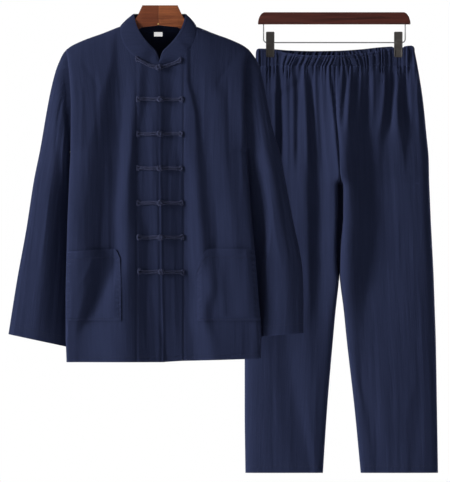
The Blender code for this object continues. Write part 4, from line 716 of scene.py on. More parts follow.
NAVY_DEEP = (0.0126, 0.0169, 0.0406, 1)
NAVY_WORN = (0.0205, 0.0265, 0.0615, 1)
THREAD_SIZE = 0.0011
WORN_EDGE = 0.0045
CORD_DEEP = (0.0095, 0.0125, 0.0320, 1)
CORD_WORN = (0.0290, 0.0350, 0.0780, 1)


def cloth_look():
    """Navy crepe cotton: a plain weave, upright slubs of several widths, soft mottling and worn edges."""
    made = Nodes("navy_cloth_look")
    lengths = made.add("Attribute", {"attribute_name": "lengths"}).outputs["Vector"]
    parts = made.add("SeparateXYZ", Vector=lengths)
    across, down, edge = parts.outputs
    slub = made.grain(lengths, (420, 11, 0), 3.0)
    wide = made.grain(lengths, (120, 6, 0), 2.0)
    cloud = made.grain(lengths, (14, 5, 0), 2.0)
    wear = made.span(edge, 0.0, WORN_EDGE, 0.5, 0.0)
    tone = made.math("ADD", made.even(slub, 0.0, 0.34), made.even(wide, 0.0, 0.30))
    tone = made.math("ADD", tone, made.even(cloud, 0.0, 0.30))
    tone = made.math("ADD", tone, wear, clamp=True)
    warp = made.wave(across, THREAD_SIZE)
    weft = made.wave(down, THREAD_SIZE)
    weave = made.math("MULTIPLY", warp, weft)
    grain = made.bump(weave, 0.00008, 0.5)
    ridges = made.bump(made.math("ADD", slub, made.math("MULTIPLY", wide, 1.4)), 0.0008, 0.55, grain)
    made.shine(
        Base_Color=made.mix(tone, NAVY_DEEP, NAVY_WORN), Roughness=0.95, Specular_IOR_Level=0.04,
        Normal=ridges, Sheen_Weight=0.06, Sheen_Roughness=0.5, Sheen_Tint=(0.42, 0.46, 1.0, 1),
    )
    return made.material


def cord_look():
    """Cords and knots sewn from strips of the same cloth, a little deeper in colour."""
    made = Nodes("navy_cord_look")
    at = made.place()
    strand = made.grain(at, (900, 900, 900), 2.0)
    fold = made.grain(at, (260, 260, 420), 3.0)
    tone = made.math("ADD", made.even(strand, 0.0, 0.4), made.even(fold, 0.0, 0.6), clamp=True)
    made.shine(
        Base_Color=made.mix(tone, CORD_DEEP, CORD_WORN), Roughness=0.8,
        Specular_IOR_Level=0.18, Normal=made.bump(made.math("ADD", strand, fold), 0.0006, 0.7),
        Sheen_Weight=0.25, Sheen_Roughness=0.4, Sheen_Tint=(0.5, 0.54, 1.0, 1),
    )
    return made.material


def painted_glow_label_look():
    made = Nodes("label_white_look")
    at = made.place()
    rib = made.add("TexWave", {"wave_type": "BANDS", "bands_direction": "Z"}, Vector=at, Scale=700.0)
    cloud = made.noise(at, 180.0, 3.0)
    made.shine(
        Base_Color=made.mix(made.even(cloud, 0.0, 1.0), (0.80, 0.80, 0.81, 1), (0.92, 0.92, 0.92, 1)),
        Roughness=0.55, Normal=made.bump(rib.outputs["Fac"], 0.0001, 0.5),
        # The emission is painted light: a glow that keeps the white label bright where the collar shades it.
        Emission_Color=(1, 1, 1, 1), Emission_Strength=0.62,
    )
    return made.material


def wood_look(name, deep, light, pore, seam=None):
    """Varnished wood with its grain along X; past the seam, the other half of the hanger is darker."""
    made = Nodes(name)
    at = made.place()
    grain = made.grain(at, (9, 150, 260), 5.0, 0.6)
    rings = made.grain(at, (3, 30, 60), 3.0, 1.2)
    pores = made.grain(at, (60, 1500, 1900), 2.0)
    tone = made.math("ADD", made.even(grain, 0.0, 0.6), made.even(rings, 0.0, 0.4), clamp=True)
    colour = made.mix(tone, deep, light)
    colour = made.mix(made.span(pores, 0.56, 0.72, 0.0, 0.65), colour, pore)
    if seam:
        beside = made.add("SeparateXYZ", Vector=at).outputs["X"]
        half = made.math("LESS_THAN", beside, seam["x"])
        colour = made.mix(made.math("MULTIPLY", half, seam["share"]), colour, seam["colour"])
    relief = made.math("SUBTRACT", grain, made.span(pores, 0.55, 0.75, 0.0, 1.0))
    made.shine(
        Base_Color=colour, Roughness=made.even(grain, 0.36, 0.50), Specular_IOR_Level=0.22,
        Coat_Weight=0.10, Coat_Roughness=0.22, Normal=made.bump(relief, 0.0002, 0.35),
    )
    return made.material


def metal_look(name, colour, rough):
    made = Nodes(name)
    at = made.place()
    drawn = made.grain(at, (200, 900, 900), 2.0)
    made.shine(
        Base_Color=colour, Metallic=1.0, Roughness=made.even(drawn, rough, rough + 0.15),
        Normal=made.bump(drawn, 0.00005, 0.4),
    )
    return made.material


def plastic_look():
    made = Nodes("grey_plastic_look")
    at = made.place()
    speck = made.noise(at, 1400.0, 2.0)
    cloud = made.grain(at, (60, 60, 30), 3.0)
    made.shine(
        Base_Color=made.mix(cloud, (0.030, 0.026, 0.024, 1), (0.066, 0.058, 0.052, 1)),
        Roughness=made.even(cloud, 0.42, 0.58), Specular_IOR_Level=0.35,
        Normal=made.bump(speck, 0.0001, 0.5),
    )
    return made.material


def thread_look():
    made = Nodes("navy_thread_look")
    ply = made.noise(made.place(), 2600.0, 2.0)
    made.shine(
        Base_Color=made.mix(ply, (0.010, 0.012, 0.030, 1), (0.022, 0.025, 0.055, 1)), Roughness=0.6,
        Specular_IOR_Level=0.3, Normal=made.bump(ply, 0.0001, 0.5),
    )
    return made.material


CLOTH_LOOK = cloth_look()
CORD_LOOK = cord_look()
THREAD_LOOK = thread_look()

# The finer form of the panels: stitch lines, the front edges' rolls, hems and seam puckers
PANEL_WIDTH = 0.21
FACING_X = {"right": -0.0530, "left": 0.0545}
FACING_GROOVE = {"depth": 0.0011, "width": 0.0022, "welt": 0.0007, "run": 0.004}
# How far each front's edge rolls forward; this leaves the two edges apart in depth
FRONT_EDGE_ROLL = {"right": -0.0018, "left": 0.0030}
FRONT_EDGE_ROLL_FROM = 0.0016
FRONT_EDGE_ROLL_WIDTH = 0.0036
HEM_STITCH = 0.0115
HEM_GROOVE = {"depth": 0.0005, "width": 0.0016}
SEAM_PUCKER = {"height": 0.0006, "pitch": 0.017, "sway": 37, "reach": 0.012}
SEAM_DIP = {"depth": 0.0010, "width": 0.0022}
POCKET_INNER = {"right": 0.0895, "left": 0.0870}
POCKET_COVER = {"from": 0.004, "run": 0.012, "top": 0.572, "top_run": 0.02, "bottom": 0.728}
POCKET_FLATTENS = 0.85
BODY_STEPS = {"front": (30, 66), "back": (18, 48)}
BODY_ROWS = {"armhole": 46, "lower": 88, "hem": 8, "hem_from": 0.016}


def edge_y(face, drop):
    """The depth of the jacket body's edge: the armhole's oval, and the side seam below it."""
    middle, half = (TIP_DROP + UNDERARM_DROP) / 2, (UNDERARM_DROP - TIP_DROP) / 2
    cosine = np.clip((middle - drop) / half, -1, 1)
    axis = UNDERARM_Y * (1 - cosine) / 2
    oval = axis + FACES[face] * ARMHOLE_BULGE[face] * np.sqrt(1 - cosine**2)
    return np.where(drop > UNDERARM_DROP, read(SIDE_SEAM, "y", drop), oval)


def under_pocket(side, x, drop):
    """1 where a pocket lies over the front, and 0 elsewhere."""
    cover = POCKET_COVER
    across = ease((SIDES[side] * x - POCKET_INNER[side] - cover["from"]) / cover["run"])
    below_top = ease((drop - cover["top"]) / cover["top_run"])
    return across * below_top * ease((cover["bottom"] - drop) / cover["run"])


def pucker(drop, pitch, sway):
    """The uneven ripple of cloth along a seam."""
    return np.sin(2 * math.pi * drop / pitch + 2 * np.sin(drop * sway))


def hem_groove(above_hem, stitch):
    return dip(above_hem - stitch, HEM_GROOVE)


def body_relief(side, face, x, share, drop):
    """The finer form of a jacket panel, over its main folds."""
    relief = fold_height(JACKET_CREASES[face], x, drop) + fold_height(SLUBS[face], x, drop)
    hem = lerp(HEM["centre"], HEM[side], share)
    relief = relief - hem_groove(hem - drop, HEM_STITCH)
    to_side = (1 - share) * PANEL_WIDTH
    ripple = pucker(drop, SEAM_PUCKER["pitch"], SEAM_PUCKER["sway"])
    relief = relief + SEAM_PUCKER["height"] * ripple * bump(to_side, SEAM_PUCKER["reach"])
    relief = relief - dip(to_side, SEAM_DIP)
    if face == "back":
        return relief
    relief = relief * (1 - POCKET_FLATTENS * under_pocket(side, x, drop))
    past_facing = (FACING_X[side] - x) * SIDES[side]
    relief = relief - dip(past_facing, FACING_GROOVE)
    relief = relief + FACING_GROOVE["welt"] * ease(past_facing / FACING_GROOVE["run"])
    from_roll = share * PANEL_WIDTH - FRONT_EDGE_ROLL_FROM
    return relief + FRONT_EDGE_ROLL[side] * bump(from_roll, FRONT_EDGE_ROLL_WIDTH)


def panel_centre(side, face, drop):
    """The x of a panel's centre line. Across, the two fronts overlap by the seam."""
    return read(CENTRE, "x", drop) + SIDES[side] * SEAM / 2 * (face == "front")


def body_point(side, face, share, drop, fine=1.0):
    """A point of the jacket body's outer surface."""
    centre = panel_centre(side, face, drop)
    x = lerp(centre, read(BODY_EDGE, side, drop), share)
    fall = np.clip((drop - read(SHOULDER, "drop", share)) / SHOULDER_FALL[face], 0, 1)
    rounding = (1 - (1 - fall) ** 2) ** SHOULDER_ROUND[face]
    depth = CHEST_DEPTH[face] * superellipse(share, EDGE_ROUND[face]) * rounding
    if face == "front":
        folds = wave_height(JACKET_WAVES, x, drop)
    else:
        folds = fold_height(BACK_FOLDS, x, drop)
    folds = folds + fine * body_relief(side, face, x, share, drop)
    depth = depth + folds * rounding * superellipse(share, FOLD_EDGE_ROUND)
    y = edge_y(face, drop) * share**EDGE_PULL + FACES[face] * (depth + SEAM / 2)
    return points_at(x, y, -drop)


def on_body(side, face, x, drop, lift=0.0, fine=1.0):
    """The body's surface at each x and drop moved out by the lift, and the way out there."""
    x, drop = np.broadcast_arrays(np.asarray(x, float), np.asarray(drop, float))
    step = 0.0015

    def at(x, drop):
        centre = panel_centre(side, face, drop)
        share = (x - centre) / (read(BODY_EDGE, side, drop) - centre)
        return body_point(side, face, np.clip(share, 0, 1), drop, fine)

    out = unit(np.cross(at(x, drop + step) - at(x, drop - step), at(x + step, drop) - at(x - step, drop)))
    out = out * FACES[face] * np.sign(out[..., 1:2])
    return at(x, drop) + np.asarray(lift)[..., None] * out, out


def top_line(face, neck_steps, shoulder_steps=1):
    """Share and drop along the top of half a body panel: the neckline, then the shoulder seam."""
    turn = np.linspace(0, math.pi / 2, neck_steps + 1)
    shoulder = np.linspace(NECK_SHARE, 1, shoulder_steps + 1)[1:]
    share = np.concatenate([NECK_SHARE * np.sin(turn), shoulder])
    drop = np.concatenate([NECK_DROP + NECK_DIP[face] * np.cos(turn), read(SHOULDER, "drop", shoulder)])
    return share, drop


def body_grid(side, face):
    share, top = top_line(face, *BODY_STEPS[face])
    turn = np.linspace(0, math.pi, BODY_ROWS["armhole"] + 1)
    armhole = lerp(TIP_DROP, UNDERARM_DROP, (1 - np.cos(turn)) / 2)
    near_hem = HEM[side] - BODY_ROWS["hem_from"]
    lower = np.linspace(UNDERARM_DROP, near_hem, BODY_ROWS["lower"] + 1)[1:]
    edge = np.concatenate([armhole, lower, np.linspace(near_hem, HEM[side], BODY_ROWS["hem"] + 1)[1:]])
    down = ((edge - TIP_DROP) / (HEM[side] - TIP_DROP))[:, None]
    drop = lerp(top, lerp(HEM["centre"], HEM[side], share), down)
    drop[:, -1] = edge
    even = np.linspace(0, 1, len(share))
    return body_point(side, face, lerp(share, even, ease(down / EVEN_COLUMNS_DOWN)), drop)


def build_body():
    shoulder = np.s_[0, BODY_STEPS["front"][0] + 1 :]
    flat = np.array([1, 0, 1])
    for side in SIDES:
        grid = body_grid(side, "front")
        level = ((shoulder, Y), (np.s_[:, -1], Y), (np.s_[:, 0], X))
        cloth_piece(
            f"jacket_front_{side}_cloth", grid, lining(grid, grid.mean(axis=(0, 1)) * flat, level),
            flat=(0.26, 0.80), area=0.185, held="hung", rests_on=["jacket_hanger_wood"],
        )
    back = np.concatenate([body_grid("right", "back")[:, ::-1], body_grid("left", "back")[:, 1:]], axis=1)
    steps = BODY_STEPS["back"][1]
    level = [(edge, Y) for edge in (np.s_[0, :steps], np.s_[0, -steps:], np.s_[:, 0], np.s_[:, -1])]
    cloth_piece(
        "jacket_back_cloth", back, lining(back, back.mean(axis=(0, 1)) * flat, level),
        flat=(0.50, 0.80), area=0.36, held="hung", rests_on=["jacket_hanger_wood"],
    )


# Collar
COLLAR_STEPS = (60, 16)
COLLAR_STITCH = 0.0045
COLLAR_ROLLS = table(
    "from_top height width",
    (0, -0.0012, 0.0012), (0.0022, 0.0007, 0.0018), (COLLAR_STITCH, -0.0005, 0.0012),
)
COLLAR_SEAM_DIP = {"depth": 0.0008, "width": 0.0016}
COLLAR_RIPPLE = {"height": 0.0005, "pace": 61, "sway": 3, "sway_pace": 17}
ROWS_TO_EDGES = 0.6


def collar_grid():
    """The standing collar from the right front's end round the back, up from just under the neck seam."""
    steps, rows = COLLAR_STEPS
    halves = {}
    for side, sign in SIDES.items():
        front_share, front_drop = (line[: steps + 1] for line in top_line("front", steps))
        back_share, back_drop = (line[: steps + 1] for line in top_line("back", steps))
        seam = np.concatenate([
            body_point(side, "front", front_share, front_drop, 0),
            body_point(side, "back", back_share, back_drop, 0)[-2::-1],
        ])
        turn = np.linspace(0, 2, 2 * steps + 1)
        top_x, top_y, top_drop = (read(COLLAR_TOP, column, turn) for column in ("x", "y", "drop"))
        top = points_at(COLLAR_TOP_MID_X + sign * top_x, top_y, -top_drop)
        halves[side] = np.stack([seam, top])
    ends = np.concatenate([halves["right"], halves["left"][:, -2::-1]], axis=1)
    rise = unit(ends[1] - ends[0])
    away = unit((ends[0] + ends[1]) / 2 * (1, 1, 0))
    up = np.linspace(0, 1, rows + 1)
    up = lerp(up, ease(up), ROWS_TO_EDGES)[:, None, None]
    grid = lerp(ends[0] + 2 * SEAM * rise, ends[1], up) + COLLAR_BOW * 4 * up * (1 - up) * away
    height = np.linalg.norm(ends[1] - ends[0], axis=-1)[:, None]
    roll = -dip(up * height, COLLAR_SEAM_DIP)
    for from_top, rise_there, width in zip(*COLLAR_ROLLS.values()):
        roll = roll + rise_there * bump((1 - up) * height - from_top, width)
    along = np.linspace(0, 1, grid.shape[1])[:, None]
    form = COLLAR_RIPPLE
    ripple = form["height"] * np.sin(along * form["pace"] + form["sway"] * np.sin(along * form["sway_pace"]))
    return grid + (roll + ripple * np.sin(math.pi * up)) * away


def build_collar():
    grid = collar_grid()
    inner = lining(grid, grid.mean(axis=(0, 1)), ((np.s_[:, 0], X), (np.s_[:, -1], X)))
    cloth_piece(
        "collar_cloth", grid, inner, flat=(0.44, 0.060), area=0.024, held="laid",
        rests_on=["jacket_front_right_cloth", "jacket_front_left_cloth", "jacket_back_cloth"],
    )
    return grid


# Sleeves
SLEEVE_STEPS = {"along": 112, "front": 104, "back": 60}
CUFF_STITCH = 0.022
SLEEVE_PUCKER = {"turns": 60, "sway": 19}
SLEEVE_PLAIN_START = 0.004
SLEEVE_SLUBS = {
    side: crinkles(seed, 120, (0, 360), (0.0, 1.0), (2.4, 4.4), (0.00020, 0.00045), (0.08, 0.26), 6)
    for side, seed in (("right", 21), ("left", 22))
}


def sleeve_grid(side):
    """Rings from the armhole to the cuff, each an oval between the outer outline and the underarm line."""
    sign, outline, line = SIDES[side], SLEEVE_OUTLINE[side], UNDERARM_LINE[side]
    steps = SLEEVE_STEPS
    along = np.linspace(0, 1, steps["along"])[:, None]
    outer_drop = lerp(TIP_DROP, outline["drop"][-1], along)
    inner_drop = lerp(UNDERARM_DROP, line["drop"][-1], along**UNDERARM_PACE)
    turn = np.linspace(0, math.pi, steps["front"] + 1)
    angle = np.concatenate([turn, np.linspace(math.pi, 2 * math.pi, steps["back"] + 1)[1:-1]])
    out = (1 + np.cos(angle)) / 2
    section = SLEEVE_SECTION[side]
    front = read(section, "front", along)
    if side == "left":
        fuller = ease((out - read(TUCKED, "start", along)) / read(TUCKED, "run", along))
        front = lerp(read(TUCKED, "front", along), front, fuller)
    bulge = np.where(angle < math.pi, front, read(section, "back", along))
    degrees = np.degrees(angle)
    folds = fold_height(SLEEVE_FOLDS[side], degrees, along)
    fine = fold_height(SLEEVE_CREASES, degrees, along) + fold_height(SLEEVE_SLUBS[side], degrees, along)
    length = outline["drop"][-1] - TIP_DROP
    fine = fine - hem_groove((1 - along) * length, CUFF_STITCH)
    ripple = np.sin(degrees / 360 * SLEEVE_PUCKER["turns"] + 2 * np.sin(degrees / SLEEVE_PUCKER["sway"]))
    ripple = ripple * bump(along * length, SEAM_PUCKER["reach"])
    fine = fine + SEAM_PUCKER["height"] * ripple
    fine = fine - dip(along * length, SEAM_DIP)
    own_square = np.where(angle < math.pi / 2, SLEEVE_SQUARE[side], 1)
    square = lerp(1, own_square, ease(along / SLEEVE_SQUARE_START))
    depth = bulge * np.abs(np.sin(angle)) ** square + folds + fine * ease(along / SLEEVE_PLAIN_START)
    axis = lerp(read(section, "inner_y", along), read(section, "outer_y", along), out)
    drop = lerp(inner_drop, outer_drop, out)
    x = lerp(read(line, "x", inner_drop), read(outline, "x", outer_drop), out)
    y = axis + np.where(angle <= math.pi, -1, 1) * depth
    grid = points_at(x, y, -drop)
    grid[0, :, X] = read(BODY_EDGE, side, drop[0]) + sign * SEAM
    return grid


def build_sleeve(side):
    grid = sleeve_grid(side)
    facing = normals(grid, grid.mean(axis=1, keepdims=True), ring=True)
    facing[0, :, X] = 0
    inner = grid - CLOTH * unit(facing)
    inner[0, :, X] = read(BODY_EDGE, side, -inner[0, :, Z]) + SIDES[side] * SEAM
    cloth_piece(
        f"sleeve_{side}_cloth", grid, inner, ring=True, flat=(0.36, 0.62), area=0.17, held="hung",
        rests_on=[f"jacket_front_{side}_cloth", "jacket_back_cloth"],
    )
    return grid, facing


# Patch pockets, placed by x and drop on the front: the top edge from the inner corner to the outer one
POCKET_TOP = {
    "right": table(
        "across drop", (0, 0.5815), (0.03, 0.572), (0.075, 0.5625), (0.13, 0.5602), (0.5, 0.5628),
        (1, 0.566),
    ),
    "left": table(
        "across drop", (0, 0.601), (0.05, 0.585), (0.11, 0.569), (0.16, 0.5612), (0.22, 0.56), (1, 0.5603),
    ),
}
POCKET_BOTTOM = {"right": 0.7250, "left": 0.7255}
POCKET_OUTER_SHARE = 0.987
POCKET_STEPS = (70, 86)
POCKET_WIDTH = 0.125
POCKET_HEM = 0.019
POCKET_HEM_GROOVE = {"depth": 0.0007, "width": 0.0016, "fold": 0.0004}
POCKET_CLEAR = 0.0006
POCKET_GAPE_FROM = 0.12
POCKET_FOLLOWS = 0.25
POCKET_PUFF = {"height": 0.0012, "run": 0.012, "crease_run": 0.02}
POCKET_EDGE_GROOVE = {"depth": 0.0006, "from_edge": 0.003, "width": 0.0014}
POCKET_EDGE_WAVE = {"height": 0.0007, "pitch": 0.013, "from_edge": 0.004, "reach": 0.004}
POCKET_CREASES = {
    "right": table(
        FOLD, (-0.123, 0.52, -0.162, 0.78, 0.016, -0.0034), (-0.18, 0.5, -0.196, 0.7, 0.016, 0.0022),
        (-0.105, 0.62, -0.118, 0.8, 0.013, 0.0022), (-0.145, 0.56, -0.19, 0.66, 0.007, 0.001),
        (-0.1, 0.56, -0.105, 0.66, 0.005, -0.001),
    ),
    "left": table(
        FOLD, (0.118, 0.52, 0.126, 0.7, 0.013, 0.0018), (0.16, 0.55, 0.17, 0.78, 0.015, -0.0022),
        (0.2, 0.52, 0.205, 0.76, 0.014, 0.0018), (0.1, 0.58, 0.112, 0.72, 0.008, -0.0012),
        (0.14, 0.6, 0.148, 0.74, 0.007, 0.001),
    ),
}


def pocket_place(side, across, down):
    """The x and drop of a place on a pocket."""
    bottom = POCKET_BOTTOM[side]
    drop = lerp(read(POCKET_TOP[side], "drop", across), bottom, down)
    inner = SIDES[side] * POCKET_INNER[side]
    centre = read(CENTRE, "x", drop)
    outer = lerp(centre, read(BODY_EDGE, side, drop), POCKET_OUTER_SHARE)
    return lerp(inner, outer, across), drop


def pocket_grid(side):
    columns, rows = POCKET_STEPS
    across, down = np.meshgrid(np.linspace(0, 1, columns + 1), np.linspace(0, 1, rows + 1))
    x, drop = pocket_place(side, across, down)
    height = POCKET_BOTTOM[side] - POCKET_TOP[side]["drop"][-1]
    to_edge = np.minimum(np.minimum(across, 1 - across) * POCKET_WIDTH, (1 - down) * height)
    mouth = ease(1 - down / POCKET_MOUTH_DEPTH)
    gape = POCKET_MOUTH_GAPE * mouth * np.sin(math.pi * lerp(POCKET_GAPE_FROM, 1, across))
    puff, groove, hem, wave = POCKET_PUFF, POCKET_EDGE_GROOVE, POCKET_HEM_GROOVE, POCKET_EDGE_WAVE
    own = fold_height(POCKET_CREASES[side], x, drop) * ease(to_edge / puff["crease_run"])
    own = own + puff["height"] * ease(to_edge / puff["run"])
    own = own - dip(to_edge - groove["from_edge"], groove)
    own = own - dip(down * height - POCKET_HEM, hem)
    own = own + hem["fold"] * ease(1 - down * height / POCKET_HEM)
    ripple = np.sin(drop * 2 * math.pi / wave["pitch"]) * bump(to_edge - wave["from_edge"], wave["reach"])
    lift = LAID_CLEAR + CLOTH + POCKET_CLEAR + gape + own + wave["height"] * ripple
    return on_body(side, "front", x, drop, lift, POCKET_FOLLOWS)


def build_pocket(side):
    grid, out = pocket_grid(side)
    cloth_piece(
        f"pocket_{side}_cloth", grid, grid - CLOTH * out, flat=(0.14, 0.19), held="laid",
        rests_on=[f"jacket_front_{side}_cloth"],
    )
    return grid, out


# Trousers
LEG_STEPS = {"columns": 92, "hips": 46, "legs": 100, "hem": 9}
LEG_HEM_STITCH = 0.0160
GATHER_PITCH = 0.0104
GATHER_LEAN = {"from": 0.27, "to": 0.395, "run": 0.03, "lean": 0.5, "seen_from": 0.128}
GATHER_LEAN_BACK = {"x": 0.444, "reach": 0.026, "lean": 0.45}
GATHER_UNEVEN = table("share pace turns", (0.9, 147, 1), (0.6, 331, 2))
GATHER_SWELL = {"share": 0.3, "pace": 211}
GATHER_SHARPNESS = 0.75
GATHER_TURN = {"front": 0.0, "back": 1.7}
GATHER_LEG = {"height": 0.0028, "decay": 0.030}
WAIST_SEAM_DIP = {"depth": 0.0012, "width": 0.0022}
LEG_PUCKER = {"height": 0.0005, "pitch": 0.021, "sway": 31, "reach": 0.012}
CENTRE_SEAM_DIP = {"depth": 0.0026, "width": 0.0021}
LEG_HIPS_DROP = 0.25
LEG_HEM_ROWS = 0.02


def gather(x, drop, turn):
    """Puffs of cloth with sharp valleys, leaning to the right and then to the left over the waist."""
    lean, back = GATHER_LEAN, GATHER_LEAN_BACK
    slope = lean["lean"] * ease((x - lean["from"]) / lean["run"]) * (1 - ease((x - lean["to"]) / lean["run"]))
    slope = slope - back["lean"] * bump(x - back["x"], back["reach"])
    x = x + slope * (np.minimum(drop, WAIST_SEAM_DROP) - lean["seen_from"])
    phase = math.pi * x / GATHER_PITCH
    for share, pace, turns in zip(*GATHER_UNEVEN.values()):
        phase = phase + share * np.sin(x * pace + turns * turn)
    puffs = 2 * np.abs(np.cos(phase)) ** GATHER_SHARPNESS - 1
    return puffs * (1 + GATHER_SWELL["share"] * np.sin(x * GATHER_SWELL["pace"] + turn))


def leg_relief(face, x, share, drop):
    """The finer form of a trouser panel, over its main folds."""
    relief = fold_height(TROUSERS_CREASES, x, drop) + fold_height(SLUBS["leg"], x, drop)
    below = drop - WAIST_SEAM_DROP
    puffs = gather(x, drop, GATHER_TURN[face]) * np.exp(-below / GATHER_LEG["decay"])
    relief = relief + GATHER_LEG["height"] * puffs
    relief = relief - dip(below, WAIST_SEAM_DIP)
    relief = relief - hem_groove(TROUSERS_HEM_DROP - drop, LEG_HEM_STITCH)
    to_side, to_centre = (1 - share) * PANEL_WIDTH, share * PANEL_WIDTH
    seams = bump(to_side, LEG_PUCKER["reach"]) + bump(to_centre, LEG_PUCKER["reach"])
    relief = relief + LEG_PUCKER["height"] * pucker(drop, LEG_PUCKER["pitch"], LEG_PUCKER["sway"]) * seams
    return relief - dip(to_centre, CENTRE_SEAM_DIP) * (drop < CROTCH_DROP)


def leg_grid(side, face):
    """One leg panel from the waist seam to the hem; at the crotch its centre seam becomes an inseam."""
    sign = SIDES[side]
    steps = LEG_STEPS
    drop = np.concatenate([
        np.linspace(WAIST_SEAM_DROP + SEAM / 2, LEG_HIPS_DROP, steps["hips"]),
        np.linspace(LEG_HIPS_DROP, TROUSERS_HEM_DROP - LEG_HEM_ROWS, steps["legs"])[1:],
        np.linspace(TROUSERS_HEM_DROP - LEG_HEM_ROWS, TROUSERS_HEM_DROP, steps["hem"])[1:],
    ])[:, None]
    share = (1 - np.cos(np.linspace(0, math.pi, steps["columns"]))) / 2
    share = lerp(share, np.linspace(0, 1, steps["columns"]), LEG_EVEN_COLUMNS)
    inner = read(LEGS, f"{side}_inner", drop) + sign * SEAM / 2
    outer = read(LEGS, side, drop)
    x = lerp(inner, outer, share)
    parted = ease((drop - CROTCH_DROP + PART_RUN) / PART_RUN)
    power = LEG_ROUND[face]
    gap = read(LEG_GAP, side, drop) * (face == "front") / np.abs(outer - inner)
    apart = np.clip((share - gap) / (1 - gap), 0, 1)
    own_power = np.where(apart < 0.5, LEG_INNER_ROUND[face], power)
    section = lerp(superellipse(share, power), superellipse(2 * apart - 1, own_power), parted)
    waist = read(WAIST_DEPTH, face, sign * share)
    blend = ease((drop - WAIST_SEAM_DROP) / (WAIST_BLEND_DROP - WAIST_SEAM_DROP))
    depth = lerp(waist, read(LEG_DEPTH, "depth", drop) * section, blend)
    edge = superellipse(2 * apart - 1, np.where(apart < 0.5, LEG_FOLD_INNER_ROUND, LEG_FOLD_EDGE_ROUND))
    kept = lerp(np.where(share < 0.5, 1, edge), edge, parted)
    if face == "front":
        across = x
        folds = wave_height(TROUSERS_WAVES, across, drop) + fold_height(TROUSERS_GATHERS, across, drop)
    else:
        across = read(LEGS, "right", drop) + read(LEGS, "left", drop) - x
        folds = fold_height(TROUSERS_FOLDS, across, drop)
    depth = depth + (folds + leg_relief(face, across, share, drop)) * kept
    y = TROUSERS_Y + FACES[face] * (depth + SEAM / 2)
    return points_at(x, y, -drop)


def leg_inside(grid):
    """The middle of a leg panel, set back to the trousers' own middle."""
    inside = grid.mean(axis=(0, 1))
    inside[Y] = TROUSERS_Y
    return inside


def build_trousers():
    grids = {}
    for side in SIDES:
        for face in FACES:
            grid = leg_grid(side, face)
            crotch = int(np.searchsorted(-grid[:, 0, Z], CROTCH_DROP))
            level = ((np.s_[:crotch, 0], X), (np.s_[crotch:, 0], Y), (np.s_[:, -1], Y), (np.s_[0, :], Z))
            cloth_piece(
                f"trousers_{face}_{side}_cloth", grid, lining(grid, leg_inside(grid), level),
                flat=(0.30, 0.98), area=0.230, held="hung", rests_on=["waistband_cloth"],
            )
            grids[face, side] = grid
    return grids


# Waistband
WAIST_MIDDLE = (LEGS["right"][0] + LEGS["left"][0]) / 2
BAND_STEPS = (560, 22)
BAND_GATHER = 0.0033
BAND_HEADER = 0.0085
BAND_PINCHED_HEIGHT = 0.25
BAND_PINCH_RUN = 0.05
BAND_SIDE_RUN = 0.03
BAND_COLUMNS_POWER = 0.94
BAND_ROWS_POWER = 1.6
BAND_ROWS_SHARE = 0.5
BAND_LEAN_POWER = 1.2
BAND_HEADER_GATHER = 0.35
BAND_FOOT_GATHER = {"share": 0.75, "from": 0.8, "run": 0.2}
BAND_STITCH_DIP = {"depth": 0.0009, "width": 0.0016}
BAND_SEAM_DIP = {"depth": 0.0010, "width": 0.0018}
BAND_TOP_ROLL = {"depth": 0.0011, "width": 0.0012}
BAND_SIDE_TURN = 20
BAND_SIDE_ROUND = 8


def waistband_grid():
    """A ring of gathers, front then back, from the top edge to the seam with the legs."""
    count, rows = BAND_STEPS
    step = np.arange(count)
    half = count // 2
    share = np.where(step < half, -1 + 2 * step / half, 3 - 2 * step / half)
    share = np.sign(share) * np.abs(share) ** BAND_COLUMNS_POWER
    front = step < half
    to_clip = np.min([np.abs(share - clip) for clip in CLIP_SHARES], axis=0)
    height = BAND_GATHER * lerp(BAND_PINCHED_HEIGHT, 1, ease((to_clip - CLIP_GRIP) / BAND_PINCH_RUN))
    height = height * ease((1 - np.abs(share)) / BAND_SIDE_RUN)
    top = np.where(front, read(BAND_TOP, "front", share), read(BAND_TOP, "back", share))
    bottom = WAIST_SEAM_DROP - SEAM / 2
    part = np.linspace(0, 1, rows + 1)
    part = lerp(part, part**BAND_ROWS_POWER, BAND_ROWS_SHARE)[:, None]
    drop = lerp(top, bottom, part)
    left, right = read(LEGS, "left", drop), read(LEGS, "right", drop)
    x = np.where(share > 0, lerp(WAIST_MIDDLE, left, share), lerp(WAIST_MIDDLE, right, -share))
    depth = np.where(front, read(WAIST_DEPTH, "front", share), read(WAIST_DEPTH, "back", share))
    lean = BAND_LEAN * front * ease((drop - BAND_LEAN_START) / BAND_LEAN_RUN) * (1 - part) ** BAND_LEAN_POWER
    lean = lean * ease((top - BAND_LEAN_START) / BAND_LEAN_RUN)
    from_top = drop - top
    strength = lerp(BAND_HEADER_GATHER, 1, ease((from_top - BAND_HEADER * 0.5) / BAND_HEADER))
    foot = BAND_FOOT_GATHER
    strength = strength * lerp(1, foot["share"], ease((part - foot["from"]) / foot["run"]))
    turn = np.where(front, GATHER_TURN["front"], GATHER_TURN["back"])
    wave = height * strength * gather(x, drop, turn)
    shaped = dip(from_top - BAND_HEADER, BAND_STITCH_DIP) + dip(bottom - drop, BAND_SEAM_DIP)
    shaped = -(shaped + dip(from_top, BAND_TOP_ROLL)) * ease((1 - np.abs(share)) / BAND_SIDE_RUN)
    side_sign = np.where(front, -1, 1)
    return points_at(x, TROUSERS_Y + side_sign * (depth + wave + lean + shaped), -drop)


